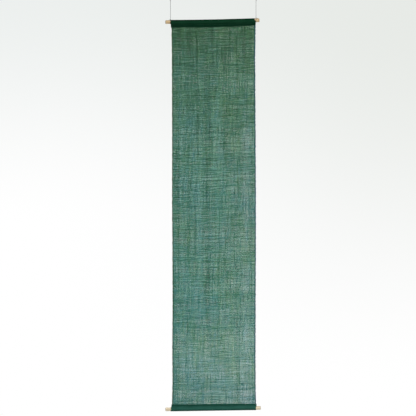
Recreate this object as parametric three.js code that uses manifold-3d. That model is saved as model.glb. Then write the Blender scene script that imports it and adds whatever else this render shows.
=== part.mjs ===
// Ramie cloth wall hanging: a long narrow panel of semi-sheer ramie between two
// dense headings, with a round dowel through each, hung by two strings.
//
// Millimetres. +X is the viewer's right, +Z is up and the front faces -Y.
// The origin is midway between the two string loops, level with the point
// where each loop bears on its hook.

import * as THREE from 'three';
import { mergeVertices } from 'three/addons/utils/BufferGeometryUtils.js';
import Module from 'manifold-3d';

// Driving sizes

const GAP = 0.3;

const STRING = { diameter: 1.4, apart: 350.6, sides: 8, steps: 6 };

// The points of each string, from its wrap up to the knot under its loop.
const STRING_ROUTES = {
  left: [[-175.3, 0, -113.8], [-175.3, 0, -71.4], [-175.3, 0, -29.0]],
  right: [[175.3, 0, -106.6], [175.3, 0, -67.8], [175.3, 0, -29.0]],
};

const WRAP = { turns: 2, segments: 18, lobeSteps: 4 };

const KNOT = { drop: 26, radius: 2.1, stretch: 1.25, around: 12, rings: 8 };

// One leg of a loop, from the knot to the crown, as shares of the loop's half
// width and of the knot's drop.
const LOOP = { width: 8.6, steps: 26 };
const LOOP_LEG = [
  { across: 0.17, drop: 1 },
  { across: 0.52, drop: 0.72 },
  { across: 1, drop: 0.34 },
  { across: 0.74, drop: 0.07 },
];

const DOWEL = { diameter: 15, chamfer: 1.6, sides: 24, stations: 9 };

// A dowel's axis crosses x = 0 at its level, climbs to the right by its slope,
// and its middle sags below the line between the two strings by its sag.
const TOP_AXIS = { level: -121, slope: 0.0205, sag: 1.3, left: -196.2, right: 189.2 };
const BOTTOM_AXIS = { level: -1708, slope: 0.015, sag: 0, left: -196.0, right: 194.7 };

// A heading is one strip folded round its dowel, its two layers lying flat
// against the panel from the seam to the tail's edge.
const HEADING = { wall: 1.2, seam: 12, stations: 17, arcSteps: 14 };

const TOP_HEADING = {
  side: -1,
  left: { atDowel: -173.4, atTail: -172.0 },
  right: { atDowel: 173.4, atTail: 173.6 },
  tail: [
    { x: -174, length: 22.7 },
    { x: -128, length: 21.4 },
    { x: -45, length: 23.7 },
    { x: 28, length: 22.3 },
    { x: 70, length: 23.1 },
    { x: 134, length: 21.0 },
    { x: 174, length: 19.8 },
  ],
};

const BOTTOM_HEADING = {
  side: 1,
  left: { atDowel: -174.7, atTail: -169.5 },
  right: { atDowel: 175.4, atTail: 176.5 },
  tail: [
    { x: -175, length: 20.8 },
    { x: -120, length: 19.6 },
    { x: -60, length: 18.7 },
    { x: 70, length: 18.3 },
    { x: 134, length: 18.0 },
    { x: 176, length: 16.9 },
  ],
};

const PANEL = { thickness: 1.2, tuck: 13.2, columns: 5, rowPitch: 7.2, restPerEnd: 60 };

// The weft's turns draw every other row of the right edge in, by a depth that
// swells and fades along the cloth.
const SCALLOP = { depth: 0.9, steady: 0.65, swell: 0.35, turnPerRow: 0.37 };

// The panel's two long edges, by height.
const PANEL_EDGES = [
  { z: -130, left: -170.5, right: 171.8 },
  { z: -280, left: -169.5, right: 172.1 },
  { z: -400, left: -168.9, right: 172.8 },
  { z: -650, left: -168.3, right: 173.7 },
  { z: -850, left: -168.3, right: 174.5 },
  { z: -1060, left: -167.5, right: 175.0 },
  { z: -1260, left: -167.1, right: 173.9 },
  { z: -1470, left: -168.2, right: 175.0 },
  { z: -1590, left: -166.9, right: 174.1 },
  { z: -1700, left: -168.9, right: 175.0 },
];

// The slow waves by which the hanging panel leaves its plane: how far, how long
// a wave is down the cloth and across it, and how far along it starts.
const WAVES = [
  { depth: 1.7, down: 930, across: 760, start: 0.4 },
  { depth: 0.9, down: 410, across: -520, start: 2.1 },
  { depth: 0.5, down: 185, across: 330, start: 4.0 },
];

const COLOURS = {
  ramie: { color: 0x5c8272, roughness: 0.85, metalness: 0 },
  heading: { color: 0x12301f, roughness: 0.9, metalness: 0 },
  wood: { color: 0xc9b79b, roughness: 0.6, metalness: 0 },
  string: { color: 0x66666a, roughness: 0.8, metalness: 0 },
};

const MERGE_WITHIN = 1e-4;

// Shared helpers

const wasm = await Module();
wasm.setup();

function smooth(t) {
  const held = THREE.MathUtils.clamp(t, 0, 1);
  return held * held * (3 - 2 * held);
}

/** A column of a table at a place between its rows, eased from row to row. */
function between(table, key, at, column) {
  const rows = [...table].sort((a, b) => a[key] - b[key]);
  const upper = rows.findIndex((row) => row[key] >= at);
  if (upper === 0) return rows[0][column];
  if (upper < 0) return rows[rows.length - 1][column];
  const [low, high] = [rows[upper - 1], rows[upper]];
  const share = (at - low[key]) / (high[key] - low[key]);
  return THREE.MathUtils.lerp(low[column], high[column], smooth(share));
}

function axisHeight(axis, x) {
  const reach = x / (STRING.apart / 2);
  return axis.level + axis.slope * x + axis.sag * reach * reach;
}

function axisDirection(axis, x) {
  const half = STRING.apart / 2;
  const climb = axis.slope + (2 * axis.sag * x) / (half * half);
  return new THREE.Vector3(1, 0, climb).normalize();
}

function signedArea(points) {
  return points.reduce((sum, p, i) => {
    const q = points[(i + 1) % points.length];
    return sum + (p.x * q.y - q.x * p.y) / 2;
  }, 0);
}

/**
 * A closed solid through rings of points, each with as many points as the
 * next. flatten gives a ring's point as the Vector2 in which its cap is drawn.
 */
function loft(rings, flatten) {
  const sides = rings[0].length;
  const index = [];
  for (let r = 0; r < rings.length - 1; r += 1) {
    for (let s = 0; s < sides; s += 1) {
      const near = r * sides + s;
      const nearNext = r * sides + ((s + 1) % sides);
      index.push(near, nearNext, nearNext + sides);
      index.push(near, nearNext + sides, near + sides);
    }
  }
  [0, rings.length - 1].forEach((r) => {
    const outline = rings[r].map(flatten);
    const turn = Math.sign(signedArea(outline)) * (r === 0 ? -1 : 1);
    THREE.ShapeUtils.triangulateShape(outline, []).forEach((face) => {
      const corners = face.map((i) => outline[i]);
      const ordered = Math.sign(signedArea(corners)) === turn ? face : [...face].reverse();
      index.push(...ordered.map((i) => r * sides + i));
    });
  });
  const positions = rings.flat().flatMap((point) => point.toArray());
  const geometry = new THREE.BufferGeometry();
  geometry.setAttribute('position', new THREE.Float32BufferAttribute(positions, 3));
  geometry.setIndex(index);
  return facingOut(geometry);
}

/** The same solid with its faces turned to point outwards. */
function facingOut(geometry) {
  const at = geometry.getAttribute('position');
  const corner = (i) => new THREE.Vector3().fromBufferAttribute(at, i);
  const faces = geometry.getIndex().array;
  let volume = 0;
  for (let f = 0; f < faces.length; f += 3) {
    const [a, b, c] = [corner(faces[f]), corner(faces[f + 1]), corner(faces[f + 2])];
    volume += a.dot(b.cross(c)) / 6;
  }
  if (volume < 0) {
    geometry.setIndex(Array.from(faces).reverse());
  }
  geometry.computeVertexNormals();
  return geometry;
}

function toManifold(geometry) {
  const bare = geometry.clone();
  bare.deleteAttribute('normal');
  bare.deleteAttribute('uv');
  const merged = mergeVertices(bare, MERGE_WITHIN);
  return new wasm.Manifold(new wasm.Mesh({
    numProp: 3,
    vertProperties: new Float32Array(merged.getAttribute('position').array),
    triVerts: new Uint32Array(merged.getIndex().array),
  }));
}

/** Two closed solids joined into one. */
function joined(one, other) {
  const mesh = toManifold(one).add(toManifold(other)).getMesh();
  const geometry = new THREE.BufferGeometry();
  geometry.setAttribute('position', new THREE.Float32BufferAttribute(mesh.vertProperties, 3));
  geometry.setIndex(Array.from(mesh.triVerts));
  geometry.computeVertexNormals();
  return geometry;
}

function named(name, geometry, finish) {
  const mesh = new THREE.Mesh(geometry, new THREE.MeshStandardMaterial(finish));
  mesh.name = name;
  return mesh;
}

// Dowels

/** A round rod along its axis, with chamfered flat ends square to it. */
function dowelGeometry(axis) {
  const radius = DOWEL.diameter / 2;
  const inner = radius - DOWEL.chamfer;
  const from = axis.left + DOWEL.chamfer;
  const to = axis.right - DOWEL.chamfer;
  const stations = [{ x: axis.left, radius: inner }];
  for (let i = 0; i < DOWEL.stations; i += 1) {
    stations.push({ x: THREE.MathUtils.lerp(from, to, i / (DOWEL.stations - 1)), radius });
  }
  stations.push({ x: axis.right, radius: inner });

  const rings = stations.map((station) => {
    const along = axisDirection(axis, station.x);
    const up = new THREE.Vector3(-along.z, 0, along.x);
    const centre = new THREE.Vector3(station.x, 0, axisHeight(axis, station.x));
    return Array.from({ length: DOWEL.sides }, (_, s) => {
      const angle = (2 * Math.PI * s) / DOWEL.sides;
      const back = new THREE.Vector3(0, Math.sin(angle) * station.radius, 0);
      return centre.clone().addScaledVector(up, Math.cos(angle) * station.radius).add(back);
    });
  });
  return loft(rings, (point) => new THREE.Vector2(point.y, point.z));
}

// Headings

/**
 * Half-way through the strip's thickness, from one tail's edge round the dowel
 * to the other's. x runs across the dowel and y away from it towards the tail.
 * Each point has the direction that faces out of the fold.
 */
function foldLine(tail) {
  const radius = DOWEL.diameter / 2 + GAP + HEADING.wall / 2;
  const flat = PANEL.thickness / 2 + GAP + HEADING.wall / 2;
  const bend = new THREE.Vector2(flat, HEADING.seam);
  const touch = bend.angle() - Math.acos(radius / bend.length());
  const out = new THREE.Vector2(Math.cos(touch), Math.sin(touch));
  const square = new THREE.Vector2(1, 0);
  const mitre = out.clone().add(square).divideScalar(1 + out.dot(square));

  const half = [
    { at: new THREE.Vector2(flat, tail), out: square },
    { at: bend, out: mitre },
  ];
  const arc = Array.from({ length: HEADING.arcSteps + 1 }, (_, i) => {
    const sweep = Math.PI + 2 * touch;
    const angle = touch - (sweep * i) / HEADING.arcSteps;
    const ray = new THREE.Vector2(Math.cos(angle), Math.sin(angle));
    return { at: ray.clone().multiplyScalar(radius), out: ray };
  });
  const mirror = (v) => new THREE.Vector2(-v.x, v.y);
  const otherHalf = half.map(({ at, out: ray }) => ({ at: mirror(at), out: mirror(ray) }));
  return [...half, ...arc, ...otherHalf.reverse()];
}

/** One folded strip with its dowel's slope and sag, open at both ends. */
function headingGeometry(heading, axis) {
  const crown = DOWEL.diameter / 2 + GAP + HEADING.wall;
  const rings = [];
  for (let i = 0; i < HEADING.stations; i += 1) {
    const share = i / (HEADING.stations - 1);
    const middle = THREE.MathUtils.lerp(heading.left.atDowel, heading.right.atDowel, share);
    const tail = between(heading.tail, 'x', middle, 'length');
    const line = foldLine(tail);
    const offset = (way) => ({ at, out }) => at.clone().addScaledVector(out, way * HEADING.wall / 2);
    const outline = [...line.map(offset(1)), ...line.map(offset(-1)).reverse()];
    rings.push(outline.map((point) => {
      const down = (point.y + crown) / (tail + crown);
      const left = THREE.MathUtils.lerp(heading.left.atDowel, heading.left.atTail, down);
      const right = THREE.MathUtils.lerp(heading.right.atDowel, heading.right.atTail, down);
      const x = THREE.MathUtils.lerp(left, right, share);
      return new THREE.Vector3(x, point.x, axisHeight(axis, x) + heading.side * point.y);
    }));
  }
  return loft(rings, (point) => new THREE.Vector2(point.y, point.z));
}

// Cloth panel

/** How far the cloth leaves its plane, which dies out towards both headings. */
function billow(x, z, fromTop, fromBottom) {
  const held = smooth(fromTop / PANEL.restPerEnd) * smooth(fromBottom / PANEL.restPerEnd);
  const wave = WAVES.reduce((sum, { depth, down, across, start }) => (
    sum + depth * Math.sin(2 * Math.PI * (z / down + x / across) + start)
  ), 0);
  return held * wave;
}

/** How far one row of the right edge draws in. */
function scallop(row) {
  const swell = SCALLOP.steady + SCALLOP.swell * Math.sin(row * SCALLOP.turnPerRow);
  return (row % 2) * SCALLOP.depth * swell;
}

function panelGeometry() {
  const top = (x) => axisHeight(TOP_AXIS, x) - PANEL.tuck;
  const bottom = (x) => axisHeight(BOTTOM_AXIS, x) + PANEL.tuck;
  const rows = Math.round((top(0) - bottom(0)) / PANEL.rowPitch);
  const rings = [];
  for (let r = 0; r <= rows; r += 1) {
    const level = THREE.MathUtils.lerp(top(0), bottom(0), r / rows);
    const left = between(PANEL_EDGES, 'z', level, 'left');
    const right = between(PANEL_EDGES, 'z', level, 'right') - scallop(r);
    const front = [];
    const back = [];
    for (let c = 0; c <= PANEL.columns; c += 1) {
      const x = THREE.MathUtils.lerp(left, right, c / PANEL.columns);
      const z = THREE.MathUtils.lerp(top(x), bottom(x), r / rows);
      const y = billow(x, z, top(x) - z, z - bottom(x));
      front.push(new THREE.Vector3(x, y - PANEL.thickness / 2, z));
      back.unshift(new THREE.Vector3(x, y + PANEL.thickness / 2, z));
    }
    rings.push([...front, ...back]);
  }
  return loft(rings, (point) => new THREE.Vector2(point.x, point.y));
}

// Strings

/** A string's turns round the dowel, lying side by side, as one ring. */
function wrapGeometry() {
  const radius = STRING.diameter / 2;
  const bore = DOWEL.diameter / 2 + GAP;
  const width = WRAP.turns * STRING.diameter;
  const profile = [new THREE.Vector2(bore, -width / 2)];
  for (let turn = 0; turn < WRAP.turns; turn += 1) {
    const middle = -width / 2 + radius + turn * STRING.diameter;
    for (let i = turn === 0 ? 0 : 1; i <= WRAP.lobeSteps; i += 1) {
      const angle = -Math.PI / 2 + (Math.PI * i) / WRAP.lobeSteps;
      const out = bore + radius + radius * Math.cos(angle);
      profile.push(new THREE.Vector2(out, middle + radius * Math.sin(angle)));
    }
  }
  profile.push(new THREE.Vector2(bore, width / 2), profile[0].clone());
  return new THREE.LatheGeometry(profile, WRAP.segments);
}

function tubeAlong(curve, steps) {
  const section = new THREE.Shape();
  for (let s = 0; s < STRING.sides; s += 1) {
    const angle = (2 * Math.PI * s) / STRING.sides;
    const radius = STRING.diameter / 2;
    const [x, y] = [radius * Math.cos(angle), radius * Math.sin(angle)];
    if (s === 0) section.moveTo(x, y);
    else section.lineTo(x, y);
  }
  return new THREE.ExtrudeGeometry(section, { steps, extrudePath: curve });
}

/** The taut stretch from the wrap up to the knot under the loop. */
function stringGeometry(route) {
  const points = route.map((point) => new THREE.Vector3(...point));
  return tubeAlong(new THREE.CatmullRomCurve3(points), STRING.steps);
}

/** The eye that goes over the hook, closed by the knot beneath it. */
function loopGeometry(x) {
  const leg = (side) => LOOP_LEG.map(({ across, drop }) => (
    new THREE.Vector3(x + (side * across * LOOP.width) / 2, 0, -drop * KNOT.drop)
  ));
  const crown = new THREE.Vector3(x, 0, STRING.diameter / 2);
  const route = [...leg(-1), crown, ...leg(1).reverse()];
  const eye = tubeAlong(new THREE.CatmullRomCurve3(route), LOOP.steps);
  const knot = new THREE.SphereGeometry(KNOT.radius, KNOT.around, KNOT.rings);
  knot.rotateX(Math.PI / 2);
  knot.scale(1, 1, KNOT.stretch);
  knot.translate(x, 0, -KNOT.drop);
  return joined(eye, knot);
}

// Assembly

const hanging = new THREE.Group();

hanging.add(named('cloth_panel', panelGeometry(), COLOURS.ramie));
hanging.add(named('top_heading', headingGeometry(TOP_HEADING, TOP_AXIS), COLOURS.heading));
hanging.add(named('bottom_heading', headingGeometry(BOTTOM_HEADING, BOTTOM_AXIS), COLOURS.heading));
hanging.add(named('top_dowel', dowelGeometry(TOP_AXIS), COLOURS.wood));
hanging.add(named('bottom_dowel', dowelGeometry(BOTTOM_AXIS), COLOURS.wood));

['left', 'right'].forEach((side, i) => {
  const x = (i === 0 ? -1 : 1) * STRING.apart / 2;
  const route = STRING_ROUTES[side];
  hanging.add(named(`${side}_string`, stringGeometry(route), COLOURS.string));
  hanging.add(named(`${side}_string_loop`, loopGeometry(x), COLOURS.string));

  const wrap = named(`${side}_string_wrap`, wrapGeometry(), COLOURS.string);
  wrap.position.set(x, 0, axisHeight(TOP_AXIS, x));
  wrap.quaternion.setFromUnitVectors(new THREE.Vector3(0, 1, 0), axisDirection(TOP_AXIS, x));
  hanging.add(wrap);
});

export default hanging;
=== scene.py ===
"""A ramie cloth wall hanging on two wooden dowels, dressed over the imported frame.

The panel is woven from single yarns: every warp end and every weft pick is a ribbon
of its own, over and under its neighbours, so light passes between them as it does
through sheer cloth. Lengths are in millimetres, as in the part's source, until a mesh
is made, which is in metres. +X is the viewer's right, +Z is up, the front faces -Y.
"""

import logging
import math
from dataclasses import dataclass, field
from enum import Enum
from typing import Sequence

import bpy
import numpy as np
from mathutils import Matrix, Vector


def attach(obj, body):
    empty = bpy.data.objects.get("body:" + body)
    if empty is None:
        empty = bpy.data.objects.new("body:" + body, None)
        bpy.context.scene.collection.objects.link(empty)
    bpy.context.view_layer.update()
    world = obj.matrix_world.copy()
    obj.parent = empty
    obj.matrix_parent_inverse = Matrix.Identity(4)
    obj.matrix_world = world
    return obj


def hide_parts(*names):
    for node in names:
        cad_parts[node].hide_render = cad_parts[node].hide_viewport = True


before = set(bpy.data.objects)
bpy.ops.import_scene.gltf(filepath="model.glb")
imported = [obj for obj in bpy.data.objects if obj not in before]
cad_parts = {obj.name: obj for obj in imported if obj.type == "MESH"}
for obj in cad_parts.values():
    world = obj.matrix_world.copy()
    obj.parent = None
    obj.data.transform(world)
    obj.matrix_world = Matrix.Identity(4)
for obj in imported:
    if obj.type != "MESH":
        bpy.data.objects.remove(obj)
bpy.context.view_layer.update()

MM = 0.001
TURN = 2 * math.pi
STRING_APART = 350.6
BODY = "root"

log = logging.getLogger("hanging")

Array = np.ndarray
Colour = tuple[float, float, float]


class Side(Enum):
    """The two sides of the hanging, as the sign of x."""

    LEFT = -1
    RIGHT = 1


class Tails(Enum):
    """Which way a heading's tails run from its dowel, as the sign of z."""

    DOWN = -1
    UP = 1


class Trait(Enum):
    """What a band changes in its yarns."""

    TONE = "tone"
    HUE = "hue"
    DENSE = "dense"


class Slot(Enum):
    """The record's material slots."""

    RAMIE = "ramie_cloth"
    HEADING = "heading_cloth"
    WOOD = "dowel_wood"
    STRING = "string"


def smooth(share: Array) -> Array:
    """Eases 0..1 by 3t^2 - 2t^3, held at both ends."""
    held = np.clip(share, 0.0, 1.0)
    return held * held * (3.0 - 2.0 * held)


def eased(at: Array, keys: Sequence[float], values: Sequence) -> Array:
    """Reads a table between its rows, eased from row to row.

    Args:
        at: where to read it, of any shape.
        keys: the rows' places, rising.
        values: one number or one colour a row.

    Returns:
        The values at those places; a colour adds one last dimension.
    """
    places = np.asarray(keys, float)
    rows = np.asarray(values, float)
    low = np.clip(np.searchsorted(places, at) - 1, 0, len(places) - 2)
    share = smooth((at - places[low]) / (places[low + 1] - places[low]))
    if rows.ndim > 1:
        share = share[..., None]
    return rows[low] + (rows[low + 1] - rows[low]) * share


def heavy(values: Array, weight: float = 0.36) -> Array:
    """Values of unit spread with a longer tail below: t - weight (t^2 - 1)."""
    return values - weight * (values * values - 1.0)


def unit(vectors: Array) -> Array:
    """The same vectors with length 1."""
    return vectors / np.maximum(np.linalg.norm(vectors, axis=-1, keepdims=True), 1e-12)


class Chance:
    """Seeded randomness for yarns and fields."""

    EVERY_NODE = None
    DRIFT_SPREAD = 0.74

    def __init__(self, seed: int) -> None:
        """Starts the generator from a seed."""
        self.rng = np.random.default_rng(seed)

    def spread(self, *shape: int) -> Array:
        """Independent normal values of that shape."""
        return self.rng.standard_normal(shape)

    def drift(self, rows: int, nodes: int, knots: float) -> Array:
        """Smooth random lines, one a row, with unit spread.

        A row has a random value at each of its evenly spaced knots, which start at
        a random phase, and goes from knot to knot by smooth(t).

        Args:
            rows: how many lines.
            nodes: points along each.
            knots: how many knots a line has.

        Returns:
            An array of rows by nodes.
        """
        values = self.spread(rows, int(knots) + 3)
        at = np.linspace(0.0, knots, nodes)[None, :] + self.rng.random((rows, 1))
        low = at.astype(int)
        share = smooth(at - low)
        line = np.arange(rows)[:, None]
        mixed = values[line, low] * (1 - share) + values[line, low + 1] * share
        return mixed / np.sqrt(self.DRIFT_SPREAD)

    def varied(self, rows: int, nodes: int, drifts: Sequence) -> Array:
        """The sum of drifts, each a weight and its knots, or EVERY_NODE where nodes don't agree.

        Args:
            rows: how many lines.
            nodes: points along each.
            drifts: the weights and knots.

        Returns:
            An array of rows by nodes.
        """
        total = np.zeros((rows, nodes))
        for weight, knots in drifts:
            lines = self.spread(rows, nodes) if knots is self.EVERY_NODE else self.drift(rows, nodes, knots)
            total += weight * lines
        return total

    def streaks(self, rows: int, nodes: int, knots: float, narrow: float, wide: float) -> Array:
        """Drift lines whose rows agree with their neighbours, with unit spread.

        The lines are blurred across the rows by a bell of `narrow` rows, and the same
        blurred by `wide` rows is taken away, so streaks of one thickness stay.

        Args:
            rows: how many lines.
            nodes: points along each.
            knots: how many knots a line has.
            narrow: the bell that joins neighbours.
            wide: the bell whose slow bands are taken away.

        Returns:
            An array of rows by nodes.
        """
        lines = self.drift(rows, nodes, knots)
        turns = np.fft.rfftfreq(rows)[:, None]
        joined, slow = (np.exp(-2 * (math.pi * bell * turns) ** 2) for bell in (narrow, wide))
        streaks = np.fft.irfft(np.fft.rfft(lines, axis=0) * (joined - slow), rows, axis=0)
        return streaks / streaks.std()

    def slubs(self, rows: int, nodes: int, each: int, length: float) -> Array:
        """Thick places: the sum of `each` bells exp(-((t - c) / w)^2) a row.

        Args:
            rows: how many yarns.
            nodes: points along each.
            each: bells a yarn.
            length: a bell's middle half-width w, as a share of the yarn.

        Returns:
            An array of rows by nodes, most of it near 0, with peaks up to about 1.
        """
        at = np.linspace(0.0, 1.0, nodes)[None, :]
        total = np.zeros((rows, nodes))
        for _ in range(each):
            centre = self.rng.random((rows, 1))
            reach = length * self.rng.uniform(0.5, 1.8, (rows, 1))
            height = self.rng.random((rows, 1)) ** 2
            total += height * np.exp(-(((at - centre) / reach) ** 2))
        return total

    def field(self, x: Array, z: Array, across: float, down: float, waves: int = 14) -> Array:
        """A smooth random field: sum of sin(2 pi (x a + z b) + c), with unit spread.

        Args:
            x: places across.
            z: places down.
            across: typical patch width.
            down: typical patch height.
            waves: how many sines are summed.

        Returns:
            The field at those places.
        """
        a = self.spread(waves) / (2.2 * across)
        b = self.spread(waves) / (2.2 * down)
        c = self.rng.uniform(0, TURN, waves)
        total = np.zeros(np.broadcast(x, z).shape)
        for k in range(waves):
            total += np.sin(TURN * (x * a[k] + z * b[k]) + c[k])
        return total * math.sqrt(2.0 / waves)

    def fields(self, x: Array, z: Array, kinds: Sequence) -> Array:
        """The sum of fields, each a weight, a patch width and a patch height."""
        return sum(weight * self.field(x, z, across, down) for weight, across, down in kinds)


@dataclass
class Shape:
    """Points in millimetres, with quads and triangles over them.

    places and tips hold each corner's own row and column in the grid it came from,
    so that a map can run on across a seam. A ribbon's places hold its number, the node
    along it and which of its two edges the corner is on.
    """

    points: Array
    quads: Array
    places: Array
    triangles: Array = field(default_factory=lambda: np.empty((0, 3), int))
    tips: Array = field(default_factory=lambda: np.empty((0, 3, 2)))

    @staticmethod
    def grid(points: Array, around: bool = False) -> "Shape":
        """Quads over rows and columns of points; around joins the last column to the first.

        Args:
            points: an array (row, column, 3).
            around: whether the columns close on themselves.

        Returns:
            The shape.
        """
        rows, columns = points.shape[:2]
        last = columns if around else columns - 1
        r, c = (g.ravel() for g in np.meshgrid(np.arange(rows - 1), np.arange(last), indexing="ij"))
        ring = [(r, c), (r, c + 1), (r + 1, c + 1), (r + 1, c)]
        places = np.stack([np.stack(pair, -1) for pair in ring], 1)
        quads = places[..., 0] * columns + places[..., 1] % columns
        return Shape(points.reshape(-1, 3), quads, places.astype(float))

    @staticmethod
    def ribbons(middles: Array, halves: Array) -> "Shape":
        """Flat ribbons, one a row, between middles - halves and middles + halves.

        Args:
            middles: an array (ribbon, node, 3).
            halves: half a width at each node, as vectors.

        Returns:
            The shape.
        """
        strips, nodes = middles.shape[:2]
        points = np.stack([middles - halves, middles + halves], 2)
        s, n = (g.ravel() for g in np.meshgrid(np.arange(strips), np.arange(nodes - 1), indexing="ij"))
        start = (s * nodes + n) * 2
        quads = np.stack([start, start + 2, start + 3, start + 1], 1)
        along = np.stack([n, n + 1, n + 1, n], 1)
        edge = np.broadcast_to(np.array([0, 0, 1, 1]), along.shape)
        places = np.stack([s[:, None] + 0 * along, along, edge], -1)
        return Shape(points.reshape(-1, 3), quads, places.astype(float))

    def capped(self, columns: int) -> "Shape":
        """Closes a tube's two ends, each with a fan to a point at its middle.

        Args:
            columns: how many points a ring has.

        Returns:
            The closed shape.
        """
        rows = len(self.points) // columns
        c = np.arange(columns)
        fans, tips, poles = [], [], []
        for row, way in ((0, 1), (rows - 1, -1)):
            pole = len(self.points) + len(poles)
            poles.append(self.points[row * columns : (row + 1) * columns].mean(0))
            rim, rim_next = row * columns + c, row * columns + (c + 1) % columns
            fan = np.stack([rim, np.full(columns, pole), rim_next], 1)
            corners = ((row, 0.0), (row - way, 0.5), (row, 1.0))
            tip = np.stack([np.stack([0.0 * c + at, c + aside], 1) for at, aside in corners], 1)
            fans.append(fan[:, ::way])
            tips.append(tip[:, ::way])
        return Shape(np.vstack([self.points, poles]), self.quads, self.places,
                     np.vstack(fans), np.vstack(tips))

    @staticmethod
    def joined(shapes: Sequence["Shape"]) -> "Shape":
        """Several shapes as one, with their points one after the other.

        Args:
            shapes: what is joined.

        Returns:
            The one shape.
        """
        starts = np.cumsum([0] + [len(s.points) for s in shapes[:-1]])
        return Shape(
            np.vstack([s.points for s in shapes]),
            np.vstack([s.quads + start for s, start in zip(shapes, starts)]),
            np.vstack([s.places for s in shapes]),
            np.vstack([s.triangles + start for s, start in zip(shapes, starts)]),
            np.vstack([s.tips for s in shapes]),
        )

    def facing_out(self) -> "Shape":
        """The same closed shape, turned so that its signed volume is above 0.

        Returns:
            The shape itself, or its mirror order.
        """
        cut = np.vstack([self.quads[:, [0, 1, 2]], self.quads[:, [0, 2, 3]], self.triangles])
        a, b, c = (self.points[cut[:, k]] for k in range(3))
        if np.einsum("ij,ij->i", a, np.cross(b, c)).sum() >= 0:
            return self
        return Shape(self.points, self.quads[:, ::-1], self.places[:, ::-1],
                     self.triangles[:, ::-1], self.tips[:, ::-1])

    def corners(self) -> Array:
        """Each corner's point, the quads' first and then the triangles'."""
        return np.concatenate([self.quads.ravel(), self.triangles.ravel()])

    def corner_places(self) -> Array:
        """Each corner's row and column, in the order of corners."""
        return np.vstack([self.places.reshape(-1, 2), self.tips.reshape(-1, 2)])


class Piece:
    """One visible piece: a mesh at the origin that rides on the hanging's body."""

    def __init__(self, name: str, shape: Shape) -> None:
        """Makes the mesh object, in metres, shaded smooth.

        Args:
            name: the piece's name.
            shape: its points and faces.
        """
        self.shape = shape
        self.mesh = bpy.data.meshes.new(name)
        corners = shape.corners()
        sizes = np.concatenate([np.full(len(shape.quads), 4), np.full(len(shape.triangles), 3)])
        starts = np.concatenate([[0], np.cumsum(sizes)[:-1]])
        self.mesh.vertices.add(len(shape.points))
        self.mesh.loops.add(len(corners))
        self.mesh.polygons.add(len(sizes))
        self.mesh.vertices.foreach_set("co", (shape.points * MM).astype(np.float32).ravel())
        self.mesh.loops.foreach_set("vertex_index", corners.astype(np.int32))
        self.mesh.polygons.foreach_set("loop_start", starts.astype(np.int32))
        self.mesh.polygons.foreach_set("use_smooth", np.ones(len(sizes), bool))
        self.mesh.update(calc_edges=True)
        self.object = bpy.data.objects.new(name, self.mesh)
        bpy.context.scene.collection.objects.link(self.object)

    def map(self, name: str, corner_values: Array) -> "Piece":
        """Adds a UV map from one pair of numbers a corner.

        Args:
            name: the map's name.
            corner_values: one pair a corner.

        Returns:
            The piece itself.
        """
        layer = self.mesh.uv_layers.new(name=name)
        layer.data.foreach_set("uv", corner_values.astype(np.float32).ravel())
        return self

    def colour(self, name: str, values: Array) -> "Piece":
        """Adds a colour attribute from one linear colour a point.

        Args:
            name: the attribute's name.
            values: one colour a point.

        Returns:
            The piece itself.
        """
        layer = self.mesh.attributes.new(name, "FLOAT_COLOR", "POINT")
        full = np.concatenate([values, np.ones((len(values), 1))], 1)
        layer.data.foreach_set("color", full.astype(np.float32).ravel())
        return self

    def vector(self, name: str, values: Array) -> "Piece":
        """Adds a vector attribute from one vector a point.

        Args:
            name: the attribute's name.
            values: one vector a point.

        Returns:
            The piece itself.
        """
        layer = self.mesh.attributes.new(name, "FLOAT_VECTOR", "POINT")
        layer.data.foreach_set("vector", values.astype(np.float32).ravel())
        return self

    def place(self, material: bpy.types.Material, slot: Slot, *nodes: str) -> "Piece":
        """Gives the piece its material and ties it to the frame.

        Args:
            material: its finish.
            slot: the record's slot that the finish belongs to.
            nodes: the CAD nodes that it stands for.

        Returns:
            The piece itself.
        """
        self.mesh.materials.append(material)
        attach(self.object, BODY)
        if nodes:
            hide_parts(*nodes)
        faces = len(self.shape.quads) * 2 + len(self.shape.triangles)
        log.info("%s: %d triangles, slot %s", self.object.name, faces, slot.value)
        return self


class Value:
    """A number or colour in a node tree. Its operators add Math nodes, for numbers."""

    def __init__(self, nodes: "Nodes", socket: bpy.types.NodeSocket) -> None:
        """Wraps an output socket of one of the nodes."""
        self.nodes = nodes
        self.socket = socket

    def math(self, operation: str, *others: "Value | float") -> "Value":
        """One Math node on this value and up to two more."""
        inputs = dict(enumerate([self, *others]))
        return self.nodes.value("ShaderNodeMath", {"operation": operation}, inputs)

    def __add__(self, other: "Value | float") -> "Value":
        """self + other."""
        return self.math("ADD", other)

    def __sub__(self, other: "Value | float") -> "Value":
        """self - other."""
        return self.math("SUBTRACT", other)

    def __mul__(self, other: "Value | float") -> "Value":
        """self * other."""
        return self.math("MULTIPLY", other)

    def __truediv__(self, other: "Value | float") -> "Value":
        """self / other."""
        return self.math("DIVIDE", other)

    def __pow__(self, other: float) -> "Value":
        """self ** other."""
        return self.math("POWER", other)

    def __rsub__(self, other: float) -> "Value":
        """other - self."""
        return self.math("MULTIPLY_ADD", -1.0, other)

    __radd__ = __add__
    __rmul__ = __mul__

    def sin(self) -> "Value":
        """Its sine."""
        return self.math("SINE")

    def size(self) -> "Value":
        """Its absolute value."""
        return self.math("ABSOLUTE")

    def least(self, other: "Value | float") -> "Value":
        """The smaller of the two."""
        return self.math("MINIMUM", other)

    def most(self, other: "Value | float") -> "Value":
        """The larger of the two."""
        return self.math("MAXIMUM", other)

    def rise(self, low: float, high: float) -> "Value":
        """0 below low, 1 above high and eased between them."""
        inputs = {0: self, 1: low, 2: high, 3: 0.0, 4: 1.0}
        return self.nodes.value("ShaderNodeMapRange", {"interpolation_type": "SMOOTHSTEP"}, inputs)


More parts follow.
